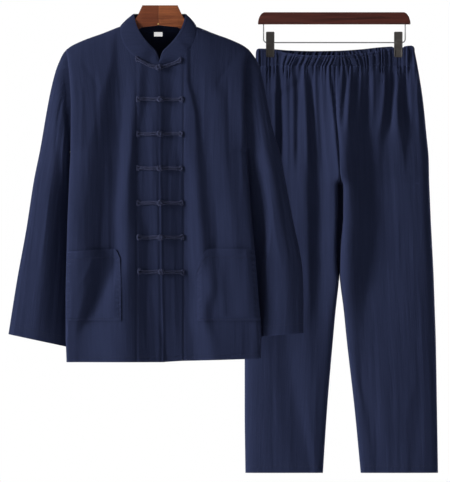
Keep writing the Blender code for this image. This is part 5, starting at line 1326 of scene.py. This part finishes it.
def build_waistband():
    """Its inner points go straight back or forward, and turn sideways only at the side seams."""
    grid = waistband_grid()
    inside = np.array([WAIST_MIDDLE, TROUSERS_Y, 0])
    share = np.clip((grid[..., X] - inside[X]) / (LEGS["left"][0] - inside[X]), -1, 1)
    away = np.zeros_like(grid)
    away[..., X] = np.sign(share) * np.abs(share) ** BAND_SIDE_TURN
    away[..., Y] = np.sign(grid[..., Y] - inside[Y]) * superellipse(share, BAND_SIDE_ROUND)
    cloth_piece(
        "waistband_cloth", grid, grid - CLOTH * unit(away), ring=True, flat=(1.04, 0.036), held="gathered",
        rests_on=[f"clip_{side}_{face}_jaw" for side in SIDES for face in FACES],
    )
    return grid


# Frog closures: cords laid on the fronts, and a ball knot on the opening
CORD_RADIUS = 0.0020
HALF_ARM = (
    (0.000, 0.0022), (0.35, 0.0021), (0.62, 0.0020), (0.78, 0.0021), (0.865, 0.0030), (0.915, 0.0043),
    (0.955, 0.0043), (0.972, 0.0018),
)
HALF_LOOP = ((-0.06, -0.0042), (-0.17, -0.0048), (-0.27, -0.0026))
LOOP_TIP = (-0.30, 0.0)
ARM_FOOT = ((-0.10, -0.0008), (-0.10, 0.0008))
ARM_STEPS = 7
ARM_SIDES = 9
ARM_UNDER_KNOT = 0.0010
ARM_SWAY = {"lean": 0.0012, "wave": 0.0005, "pace": 7, "start": 6}
ARM_RISE_POWER = 1.25
ARM_UNEVEN = ((0.05, 1.1), (0.03, 2.3))
ARM_END_SWELL = {"share": 0.22, "from": 0.84, "run": 0.06}
CORD_SEAT = 0.95
KNOT_TURNS = 3
KNOT_BIGHTS = 4
KNOT_CORD_RADIUS = 0.00150
KNOT_STEPS = 200
KNOT_SPIN = 0.5
KNOT_REACH = {"latitude": 0.95, "weave": 0.13, "cord": 0.93, "core": 0.86}


def frog_drops():
    return [TOP_KNOT_DROP] + [FIRST_ROW_DROP + FROG_PITCH * row for row in range(FROG_COUNT - 1)]


def mirrored(points):
    """The points again on the line's other side, in the other order."""
    return [(along, -aside) for along, aside in reversed(points)]


def build_arm(number, side, drop):
    """A double cord with a turned end; the left one is a loop that passes round the knot."""
    middle = float(read(CENTRE, "x", drop))
    start, reach = KNOT_RADIUS - ARM_UNDER_KNOT, ARM_REACH[side]
    rise = TOP_ARM_RISE[side] if number == 1 else 0.0
    foot = [*HALF_LOOP, LOOP_TIP, *mirrored(HALF_LOOP)] if side == "left" else ARM_FOOT
    line = smooth_loop([*HALF_ARM, *mirrored(HALF_ARM), *foot], ARM_STEPS)
    part = line[:, 0]
    onward = np.clip(part, 0, 1)
    x = middle + SIDES[side] * lerp(start, reach, part)
    slope = rise * onward**ARM_RISE_POWER
    dice = random.Random(number * 2 + (side == "left"))
    sway = dice.uniform(-ARM_SWAY["lean"], ARM_SWAY["lean"]) * onward
    sway = sway + ARM_SWAY["wave"] * np.sin(part * ARM_SWAY["pace"] + dice.uniform(0, ARM_SWAY["start"]))
    own = SIDES[side] * (x - middle) > 0
    points, out = np.zeros((2, len(line), 3))
    for face_side in SIDES:
        lift = LAID_CLEAR + CORD_RADIUS * CORD_SEAT
        found, facing = on_body(face_side, "front", x, drop - slope - line[:, 1] + sway, lift)
        here = own == (face_side == side)
        points[here], out[here] = found[here], facing[here]
    turn = np.arange(len(line))
    swell = ARM_END_SWELL["share"] * ease((part - ARM_END_SWELL["from"]) / ARM_END_SWELL["run"])
    uneven = 1
    for share, pace in ARM_UNEVEN:
        uneven = uneven + share * np.sin(turn * pace)
    radius = CORD_RADIUS * (uneven + swell)
    mesh = joined(f"frog_cord_{side}_{number}", [tube(points, out, radius, ARM_SIDES, closed=True)])
    piece(mesh, CORD_LOOK, (f"frog_arm_{side}_{number}",), sharp=80)


def build_knot(number, drop):
    """One cord woven over and under itself round a ball, as the button of a frog closure is tied."""
    middle = float(read(CENTRE, "x", drop))
    seat = on_body("left", "front", middle + SEAM, drop)[0]
    turn = np.linspace(0, 2 * math.pi * KNOT_TURNS, KNOT_STEPS, endpoint=False)
    latitude = KNOT_REACH["latitude"] * np.sin(KNOT_BIGHTS * turn / KNOT_TURNS)
    reach = 1 + KNOT_REACH["weave"] * np.sin(2 * KNOT_BIGHTS * turn / KNOT_TURNS)
    spin = turn + KNOT_SPIN * number
    level = np.cos(latitude)
    away = points_at(level * np.cos(spin), -np.sin(latitude), level * np.sin(spin))
    size = np.array([KNOT_RADIUS, KNOT_DEPTH, KNOT_RADIUS]) - KNOT_CORD_RADIUS
    centre = np.array([middle, seat[Y] - KNOT_DEPTH - SEAM, -drop])
    line = centre + away * size * reach[:, None] * KNOT_REACH["cord"]
    cord = tube(line, away, KNOT_CORD_RADIUS, ARM_SIDES, closed=True)
    ball = bmesh.new()
    bmesh.ops.create_icosphere(ball, subdivisions=3, radius=1)
    points = np.array([vertex.co[:] for vertex in ball.verts]) * size * KNOT_REACH["core"] + centre
    faces = [[vertex.index for vertex in face.verts] for face in ball.faces]
    ball.free()
    mesh = joined(f"knot_cord_{number}", [cord, (points, faces)])
    piece(mesh, CORD_LOOK, (f"knot_{number}",), sharp=80)


# Stitches: short lengths of thread, in one mesh for each group of seams
STITCH = {"length": 0.0023, "pitch": 0.0029, "radius": 0.00026, "sides": 5, "straight": 0.55}
STITCH_SEAT = 0.35
STITCH_TIPS_DOWN = 0.8
THREAD_CLEAR = 0.0001


def stitches(points, out):
    """Points and faces of a row of stitches along a line on the cloth."""
    points, out = np.asarray(points), np.asarray(out)
    run = lengths_along(points, 0)
    count = max(int(run[-1] / STITCH["pitch"]), 2)
    at = (np.arange(count) + 0.5) / count * run[-1]
    half = STITCH["length"] / 2

    def along(line, lengths):
        return points_at(*(np.interp(lengths, run, line[:, axis]) for axis in (X, Y, Z)))

    middle, facing = along(points, at), unit(along(out, at))
    forward = unit(along(points, at + half) - along(points, at - half))
    side = unit(np.cross(forward, facing))
    up = np.cross(side, forward)
    radius, sides = STITCH["radius"], STITCH["sides"]
    ring = radius * circle(sides, side, up)
    seat = middle + STITCH_SEAT * radius * facing
    tips = [(seat + end * half * forward - STITCH_TIPS_DOWN * radius * facing)[:, None] for end in (-1, 1)]
    rings = [(seat + end * STITCH["straight"] * half * forward)[:, None] + ring for end in (-1, 1)]
    made = np.concatenate([tips[0], *rings, tips[1]], axis=1)
    one = []
    for k in range(sides):
        after = (k + 1) % sides
        one += [(0, 1 + after, 1 + k), (2 * sides + 1, 1 + sides + k, 1 + sides + after)]
        one.append((1 + k, 1 + after, 1 + sides + after, 1 + sides + k))
    size = 2 * sides + 2
    faces = [[corner + size * number for corner in face] for number in range(count) for face in one]
    return made.reshape(-1, 3), faces


def grid_line(grid, facing, below_top):
    """A line across a grid at one distance from its top edge, and the way out along it."""
    run = lengths_along(grid, 0)
    row = np.array([np.interp(below_top, run[:, k], np.arange(len(run))) for k in range(grid.shape[1])])
    low = np.clip(row.astype(int), 0, len(grid) - 2)
    part = (row - low)[:, None]
    columns = np.arange(grid.shape[1])
    return lerp(grid[low, columns], grid[low + 1, columns], part), facing[low, columns]


def hem_line(grid, facing, above_bottom):
    return grid_line(grid[::-1], facing[::-1], above_bottom)


def thread_piece(name, rows):
    piece(joined(name, [stitches(*row) for row in rows]), THREAD_LOOK, sharp=80)


FACING_STITCHES = {"top": 0.150, "bottom": 0.80, "steps": 329}
HEM_STITCHES = {"from": 0.02, "to": 0.97, "steps": 119}
POCKET_STITCH_IN = 0.024
POCKET_STITCH_LOW = 0.983


def pocket_frame(grid, out):
    """The stitch line down a pocket's inner edge, along its foot and up its outer edge."""
    rows, columns = grid.shape[:2]
    aside, low = int(POCKET_STITCH_IN * columns) + 1, int((rows - 1) * POCKET_STITCH_LOW)
    inner, outer = aside, columns - aside - 1
    return [
        np.concatenate([one[2:low, inner], one[low, inner:outer], one[2:low, outer][::-1]])
        for one in (grid, out)
    ]


def build_stitching(collar, sleeves, pockets, legs, waistband):
    """Topstitching of the facings, hems, collar, pockets, cuffs and waist casing."""
    rows = []
    down = np.linspace(FACING_STITCHES["top"], FACING_STITCHES["bottom"], FACING_STITCHES["steps"] + 1)
    share = np.linspace(HEM_STITCHES["from"], HEM_STITCHES["to"], HEM_STITCHES["steps"] + 1)
    for side in SIDES:
        rows.append(on_body(side, "front", FACING_X[side], down, THREAD_CLEAR))
        hem = lerp(HEM["centre"], HEM[side], share) - HEM_STITCH
        x = lerp(read(CENTRE, "x", hem), read(BODY_EDGE, side, hem), share)
        rows += [on_body(side, face, x, hem, THREAD_CLEAR) for face in FACES]
    thread_piece("jacket_topstitching", rows)
    facing = normals(collar, collar.mean(axis=(0, 1)))
    thread_piece("collar_topstitching", [hem_line(collar, facing, COLLAR_STITCH)])
    for side, (grid, facing) in sleeves.items():
        thread_piece(f"cuff_topstitching_{side}", [hem_line(grid, facing, CUFF_STITCH)])
    for side, (grid, out) in pockets.items():
        rows = [pocket_frame(grid, out), grid_line(grid, out, POCKET_HEM)]
        thread_piece(f"pocket_topstitching_{side}", rows)
    rows = [hem_line(grid, normals(grid, leg_inside(grid)), LEG_HEM_STITCH) for grid in legs.values()]
    thread_piece("trousers_hem_topstitching", rows)
    facing = normals(waistband, np.array([WAIST_MIDDLE, TROUSERS_Y, -WAIST_SEAM_DROP]), ring=True)
    thread_piece("waistband_topstitching", [grid_line(waistband, facing, BAND_HEADER)])


# Label
LABEL = {"x": -0.0042, "half_width": 0.0098, "drop": 0.0600, "height": 0.0098, "thickness": 0.0005}
LABEL_STEPS = (30, 12)
LABEL_CLEAR = 0.0005
LABEL_FOLD = {"height": 0.0007, "from": 0.80, "run": 0.05, "to": 0.97, "end_run": 0.03}
LABEL_BELLY = 0.0006


def build_label():
    """A blank woven label inside the back of the neck, with its two ends folded under and sewn."""
    columns, rows = LABEL_STEPS
    across, down = np.meshgrid(np.linspace(-1, 1, columns + 1), np.linspace(0, 1, rows + 1))
    x = LABEL["x"] + across * LABEL["half_width"]
    drop = LABEL["drop"] + LABEL["height"] * down
    lift = -(CLOTH + LABEL_CLEAR)
    right, left = (on_body(side, "back", x, drop, lift) for side in SIDES)
    here = (x < read(CENTRE, "x", drop))[..., None]
    base, out = (np.where(here, *pair) for pair in zip(right, left))
    end, fold = np.abs(across), LABEL_FOLD
    folded = ease((end - fold["from"]) / fold["run"]) * (1 - ease((end - fold["to"]) / fold["end_run"]))
    belly = LABEL_BELLY * np.sin(math.pi * down) * (1 - across**2)
    face = base - (LABEL["thickness"] + fold["height"] * folded + belly)[..., None] * out
    cloth_piece(
        "neck_label_cloth", face, face + LABEL["thickness"] * out, look=painted_glow_label_look(), slot="label_white",
        flat=(0.0250, 0.0104), held="laid", rests_on=["jacket_back_cloth"],
    )


# Hangers
HANGER_NECK = table(
    "x top bottom half_depth squareness", (0, 0, 0.046, 0.0085, 4), (0.0405, 0, 0.0505, 0.0085, 4),
    (0.0525, 0.026, 0.056, 0.0075, 3.5), (0.07, 0.048, 0.068, 0.0085, 2.5),
)
HANGER_ARM = table(
    "share clear height half_depth squareness", (0.43, 0.0125, 0.02, 0.0085, 2),
    (0.6, 0.0046, 0.0215, 0.0094, 2), (0.78, 0.0044, 0.022, 0.009, 2), (0.9, 0.0044, 0.018, 0.006, 2),
    (0.955, 0.01, 0.01, 0.003, 2),
)
HANGER_JOINT = {"x": -0.0035, "half_width": 0.0004, "dent": 0.08, "dent_down": 0.2}
HANGER_JOINT_RINGS = (-0.0006, -0.0004, 0.0, 0.0004, 0.0006)
HANGER_STEPS = 8
HANGER_SMOOTH = {"from": 0.0525, "run": 0.02}
HANGER_SECTION = {"sides": 40, "boxed_from": 2.5, "boxed_run": 1.0, "wide": 1.35, "high": 1.10}
RIVET = {"drop": 0.0432, "radius": 0.0019, "rise": 0.0009, "sides": 20, "rings": 6}
BAR = {"left": 0.2254, "right": 0.5773, "top": 0.0145, "bottom": 0.0426, "depth": 0.014}
BAR_END_ROUND = 0.0165
BAR_END_STEPS = 18
BAR_EDGE_ROUND = 0.0016
WIRE_RADIUS = 0.00125
WIRE_SIDES = 12
WIRE_BEND_STEPS = 14
WIRE = {"left": 0.2385, "right": 0.5650, "drop": 0.0845, "corner": 0.0080, "in_bar": 0.002, "step": 0.004}
CLIP_WIDTH = 0.0195
JAW = table(
    "down inner outer", (0, 0.008, 0.01), (0.012, 0.0048, 0.007), (0.025, 0.0016, 0.004),
    (0.033, 0.004, 0.0066), (0.041, 0.0072, 0.0098), (0.059, 0.0066, 0.009),
)
JAW_STEPS = (40, 118)
JAW_WIRE_DOWN = 0.0250
JAW_CORNER = {"top": 0.0022, "bottom": 0.0042}
JAW_RIM = {"height": 0.0007, "width": 0.0014, "run": 0.0008, "round": 0.0009, "round_width": 0.0005}
JAW_RIBS = {
    "height": 0.0005, "pitch": 0.0026, "top": 0.003, "foot": 0.0175, "from_edge": 0.0022, "trough": -0.2,
}
JAW_PANEL = {"depth": 0.0006, "top": 0.040, "from_edge": 0.0030}
JAW_BOSS = {"height": 0.0012, "width": 0.0035, "share": 0.55, "run": 0.08}
JAW_RUN = {"down": 0.001, "in": 0.0006}


def hanger_rings(side):
    """One half of the jacket hanger, from the middle to the tip, with rings close together."""
    sign = SIDES[side]
    rows = [list(row) for row in zip(*HANGER_NECK.values())]
    for share, clear, height, half, squareness in zip(*HANGER_ARM.values()):
        top = float(read(SHOULDER, "drop", share)) + clear
        x = lerp(float(read(CENTRE, "x", top)), float(read(BODY_EDGE, side, top)), share)
        rows.append([abs(x), top, top + height, half, squareness])
    key = np.array(rows).T
    stops = [0.0]
    for start, end in zip(key[0], key[0][1:]):
        stops += list(np.linspace(start, end, HANGER_STEPS + 1)[1:])
    stops = np.array(stops)
    tables = [np.interp(stops, key[0], column) for column in key[1:]]
    smooth = np.clip((stops - HANGER_SMOOTH["from"]) / HANGER_SMOOTH["run"], 0, 1)
    named = dict(zip(HANGER_NECK, key))
    for number, column in enumerate(list(HANGER_NECK)[1:]):
        tables[number] = lerp(tables[number], read(named, column, stops), smooth)
    return [(sign * x, *values) for x, *values in zip(stops, *tables)]


def hanger_section(half_depth, height, squareness):
    """An oval on the arms, which turns into a rectangle with its corners cut off at the neck."""
    form = HANGER_SECTION
    angle = (np.arange(form["sides"]) + 0.5) * 2 * math.pi / form["sides"]
    across, up = (np.sign(part) * np.abs(part) ** (2 / squareness) for part in (np.cos(angle), np.sin(angle)))
    up = up / up.max()
    boxed = np.clip((squareness - form["boxed_from"]) / form["boxed_run"], 0, 1)
    square_y, square_z = np.clip(form["wide"] * across, -1, 1), np.clip(form["high"] * up, -1, 1)
    return half_depth * lerp(across, square_y, boxed), height / 2 * lerp(up, square_z, boxed)


def build_jacket_hanger():
    right, left = hanger_rings("right"), hanger_rings("left")
    joint = HANGER_JOINT
    neck = left[0][1:]
    extra = [(joint["x"] + offset, *neck) for offset in HANGER_JOINT_RINGS]
    points = []
    for x, top, bottom, half, squareness in sorted(right[::-1] + left[1:] + extra, key=lambda ring: ring[0]):
        y, z = hanger_section(half, bottom - top, squareness)
        dent = joint["dent"] * float(bump(x - joint["x"], joint["half_width"]))
        z = z * (1 - dent * joint["dent_down"]) - (top + bottom) / 2
        points.append(points_at(x, y * (1 - dent), z))
    mesh = joined("jacket_hanger_wood", [(points, ring_faces(len(points), HANGER_SECTION["sides"]))])
    look = wood_look(
        "orange_wood_look", (0.100, 0.025, 0.010, 1), (0.320, 0.098, 0.034, 1), (0.050, 0.014, 0.006, 1),
        {"x": joint["x"], "share": 0.62, "colour": (0.098, 0.022, 0.010, 1)},
    )
    piece(mesh, look, ("jacket_hanger",), sharp=30)
    build_rivet(-left[0][3])


def build_rivet(front):
    """A low brass dome on the hanger's front, at its joint."""
    turn = np.linspace(0, math.pi / 2, RIVET["rings"] + 1)[:-1, None]
    spin = np.linspace(0, 2 * math.pi, RIVET["sides"], endpoint=False)
    reach = RIVET["radius"] * np.cos(turn)
    x, z = HANGER_JOINT["x"] + np.cos(spin) * reach, np.sin(spin) * reach - RIVET["drop"]
    dome = points_at(x, front - RIVET["rise"] * np.sin(turn), z)
    mesh = joined("hanger_rivet", [(dome, ring_faces(*dome.shape[:2]))])
    piece(mesh, metal_look("brass_look", (0.62, 0.42, 0.16, 1), 0.3), sharp=50)


def build_bar():
    """A flat bar whose upper corners are quarter rounds, with small rounds along its edges."""
    height = BAR["bottom"] - BAR["top"]
    turn = np.linspace(0, math.pi / 2, BAR_END_STEPS + 1)
    bend = [(BAR_END_ROUND * (1 - math.cos(t)), height * math.sin(t) - BAR["bottom"]) for t in turn]
    left = [(BAR["left"] + x, z) for x, z in bend]
    right = [(BAR["left"] + BAR["right"] - x, z) for x, z in reversed(left)]
    shape = bmesh.new()
    front = TROUSERS_Y - BAR["depth"] / 2
    face = shape.faces.new([shape.verts.new((x, front, z)) for x, z in left + right])
    extruded = bmesh.ops.extrude_face_region(shape, geom=[face])["geom"]
    moved = [item for item in extruded if isinstance(item, bmesh.types.BMVert)]
    bmesh.ops.translate(shape, vec=(0, BAR["depth"], 0), verts=moved)
    rims = [edge for edge in shape.edges if edge.is_manifold and edge.calc_face_angle(0) > math.radians(60)]
    bmesh.ops.bevel(shape, geom=rims, offset=BAR_EDGE_ROUND, segments=4, profile=0.5, affect="EDGES")
    mesh = bpy.data.meshes.new("trouser_bar_wood")
    shape.to_mesh(mesh)
    shape.free()
    look = wood_look(
        "red_wood_look", (0.026, 0.0060, 0.0045, 1), (0.105, 0.024, 0.016, 1), (0.012, 0.003, 0.003, 1),
    )
    piece(mesh, look, ("trouser_hanger_bar",), sharp=35)


def build_wire(look):
    """One bent wire: down from the bar, along under it, and up again."""
    corner = WIRE["corner"]
    turn = np.linspace(0, math.pi / 2, WIRE_BEND_STEPS + 1)
    bend = [(corner * (1 - math.cos(t)), corner * (1 - math.sin(t)) - WIRE["drop"]) for t in turn]
    left = [(WIRE["left"] + x, z) for x, z in [(0, WIRE["in_bar"] - BAR["bottom"]), *bend]]
    route = left + [(WIRE["left"] + WIRE["right"] - x, z) for x, z in reversed(left)]
    line = []
    for (x0, z0), (x1, z1) in zip(route, route[1:]):
        steps = max(int(math.hypot(x1 - x0, z1 - z0) / WIRE["step"]), 1)
        line += [(lerp(x0, x1, k / steps), TROUSERS_Y, lerp(z0, z1, k / steps)) for k in range(steps)]
    line.append((route[-1][0], TROUSERS_Y, route[-1][1]))
    line = np.array(line)
    reference = np.broadcast_to((0.0, -1.0, 0.0), line.shape)
    mesh = joined("trouser_hanger_wire_steel", [tube(line, reference, WIRE_RADIUS, WIRE_SIDES)])
    piece(mesh, look, ("trouser_hanger_wire",), sharp=60)


def build_clips(look):
    """Two bent jaws each, with a raised rim, finger ribs above the wire and rounded corners."""
    half_waist = (LEGS["left"][0] - LEGS["right"][0]) / 2
    length = JAW["down"][-1]
    columns, rows = JAW_STEPS
    across, down = np.meshgrid(np.linspace(-1, 1, columns + 1), np.linspace(0, length, rows + 1))
    inset = np.zeros_like(down)
    for to_end, size in ((down, JAW_CORNER["top"]), (length - down, JAW_CORNER["bottom"])):
        near = np.clip(size - to_end, 0, size)
        inset = inset + size - np.sqrt(size**2 - near**2)
    half = CLIP_WIDTH / 2 - inset
    edge = np.minimum((1 - np.abs(across)) * half, np.minimum(down, length - down))
    rim, ribs, panel, boss, run = JAW_RIM, JAW_RIBS, JAW_PANEL, JAW_BOSS, JAW_RUN
    outer, inner = read(JAW, "outer", down), read(JAW, "inner", down)
    outer = outer + rim["height"] * (1 - ease((edge - rim["width"]) / rim["run"]))
    outer = outer - rim["round"] * bump(edge, rim["round_width"])
    ribbed = ease((down - ribs["top"]) / run["down"]) * ease((ribs["foot"] - down) / run["down"])
    ribbed = ribbed * ease((edge - ribs["from_edge"]) / run["in"])
    wave = np.clip(np.sin(2 * math.pi * down / ribs["pitch"]), ribs["trough"], 1)
    outer = outer + ribs["height"] * wave * ribbed
    sunk = ease((edge - panel["from_edge"]) / run["in"]) * ease((down - panel["top"]) / run["down"])
    outer = outer - panel["depth"] * sunk
    beside = ease((np.abs(across) - boss["share"]) / boss["run"])
    outer = outer + boss["height"] * bump(down - JAW_WIRE_DOWN, boss["width"]) * (1 - beside)
    for side, share in zip(SIDES, CLIP_SHARES):
        x = WAIST_MIDDLE + half_waist * share + across * half
        z = -(down + WIRE["drop"] - JAW_WIRE_DOWN)
        for face, sign in FACES.items():
            walls = [points_at(x, TROUSERS_Y + sign * depth, z) for depth in (outer, inner)]
            mesh = wall_mesh(f"clip_{side}_{face}_jaw", *walls)
            piece(mesh, look, (f"clip_{side}_{face}",), sharp=50)


# Camera, light and floor
CAMERA_X, CAMERA_Z = 0.1495, -0.5420
CAMERA_AWAY = 30.0
SENSOR = 36.0
FRAME_HEIGHT = 1.1086
WORLD_LIGHT = 0.205
LIGHTS = {
    "key": {"location": (-9.46, -4.18, 2.80), "size": 4.0, "power": 1660},
    "trousers_key": {"location": (-9.56, -3.60, 2.40), "size": 2.6, "power": 1950},
    "back_key": {"location": (6.0, 9.0, 3.2), "size": 3.0, "power": 900},
}
FLOOR = {"half": 9.0, "drop": 1.30, "colour": (0.74, 0.74, 0.74, 1)}
WHITE = (1, 1, 1, 1)


def area_light(name, location, size, power):
    data = bpy.data.lights.new(name, "AREA")
    data.shape = "SQUARE"
    data.size = size
    data.energy = power
    made = bpy.data.objects.new(name, data)
    made.location = location
    toward = Vector((CAMERA_X, 0, CAMERA_Z)) - made.location
    made.rotation_euler = toward.to_track_quat("-Z", "Y").to_euler()
    bpy.context.scene.collection.objects.link(made)


def build_floor():
    half, made = FLOOR["half"], Nodes("floor_look")
    made.shine(Base_Color=FLOOR["colour"], Roughness=0.8)
    signs = ((-1, -1), (1, -1), (1, 1), (-1, 1))
    corners = [(CAMERA_X + x * half, y * half, -FLOOR["drop"]) for x, y in signs]
    mesh = bpy.data.meshes.new("floor")
    mesh.from_pydata(corners, [], [(0, 1, 2, 3)])
    mesh.materials.append(made.material)
    floor = bpy.data.objects.new("floor", mesh)
    bpy.context.scene.collection.objects.link(floor)


def build_studio():
    """A camera so far off that it shows hardly any perspective, a white world and the lights."""
    scene = bpy.context.scene
    data = bpy.data.cameras.new("photo_camera")
    data.sensor_width = SENSOR
    data.lens = SENSOR * CAMERA_AWAY / FRAME_HEIGHT
    data.clip_end = 200
    camera = bpy.data.objects.new("photo_camera", data)
    camera.location = (CAMERA_X, -CAMERA_AWAY, CAMERA_Z)
    camera.rotation_euler = (math.pi / 2, 0, 0)
    scene.collection.objects.link(camera)
    scene.camera = camera
    world = bpy.data.worlds.new("white_studio")
    world.use_nodes = True
    tree = world.node_tree
    soft = tree.nodes["Background"]
    soft.inputs["Color"].default_value = WHITE
    soft.inputs["Strength"].default_value = WORLD_LIGHT
    white = tree.nodes.new("ShaderNodeBackground")
    white.inputs["Color"].default_value = WHITE
    rays = tree.nodes.new("ShaderNodeLightPath")
    both = tree.nodes.new("ShaderNodeMixShader")
    tree.links.new(rays.outputs["Is Camera Ray"], both.inputs[0])
    tree.links.new(soft.outputs[0], both.inputs[1])
    tree.links.new(white.outputs[0], both.inputs[2])
    tree.links.new(both.outputs[0], tree.nodes["World Output"].inputs["Surface"])
    scene.world = world
    scene.view_settings.view_transform = "Standard"
    for name, light in LIGHTS.items():
        area_light(name, **light)


def light_apart():
    """The photo joins two pictures, so the trousers have a key light that the jacket doesn't shade."""
    trousers = bpy.data.collections.new("lit_trousers")
    others = bpy.data.collections.new("lit_jacket")
    for made in bpy.context.scene.objects:
        if made.type == "MESH":
            apart = made.name.startswith(("trousers_", "waistband_"))
            (trousers if apart else others).objects.link(made)
    key, trousers_key = (bpy.data.objects[name].light_linking for name in ("key", "trousers_key"))
    key.receiver_collection = others
    trousers_key.receiver_collection = trousers
    trousers_key.blocker_collection = trousers


def main():
    build_studio()
    build_floor()
    build_jacket_hanger()
    build_body()
    collar = build_collar()
    sleeves = {side: build_sleeve(side) for side in SIDES}
    pockets = {side: build_pocket(side) for side in SIDES}
    for number, drop in enumerate(frog_drops(), start=1):
        for side in SIDES:
            build_arm(number, side, drop)
        build_knot(number, drop)
    build_label()
    legs = build_trousers()
    waistband = build_waistband()
    build_bar()
    build_wire(metal_look("steel_wire_look", (0.22, 0.22, 0.22, 1), 0.35))
    build_clips(plastic_look())
    build_stitching(collar, sleeves, pockets, legs, waistband)
    light_apart()


main()
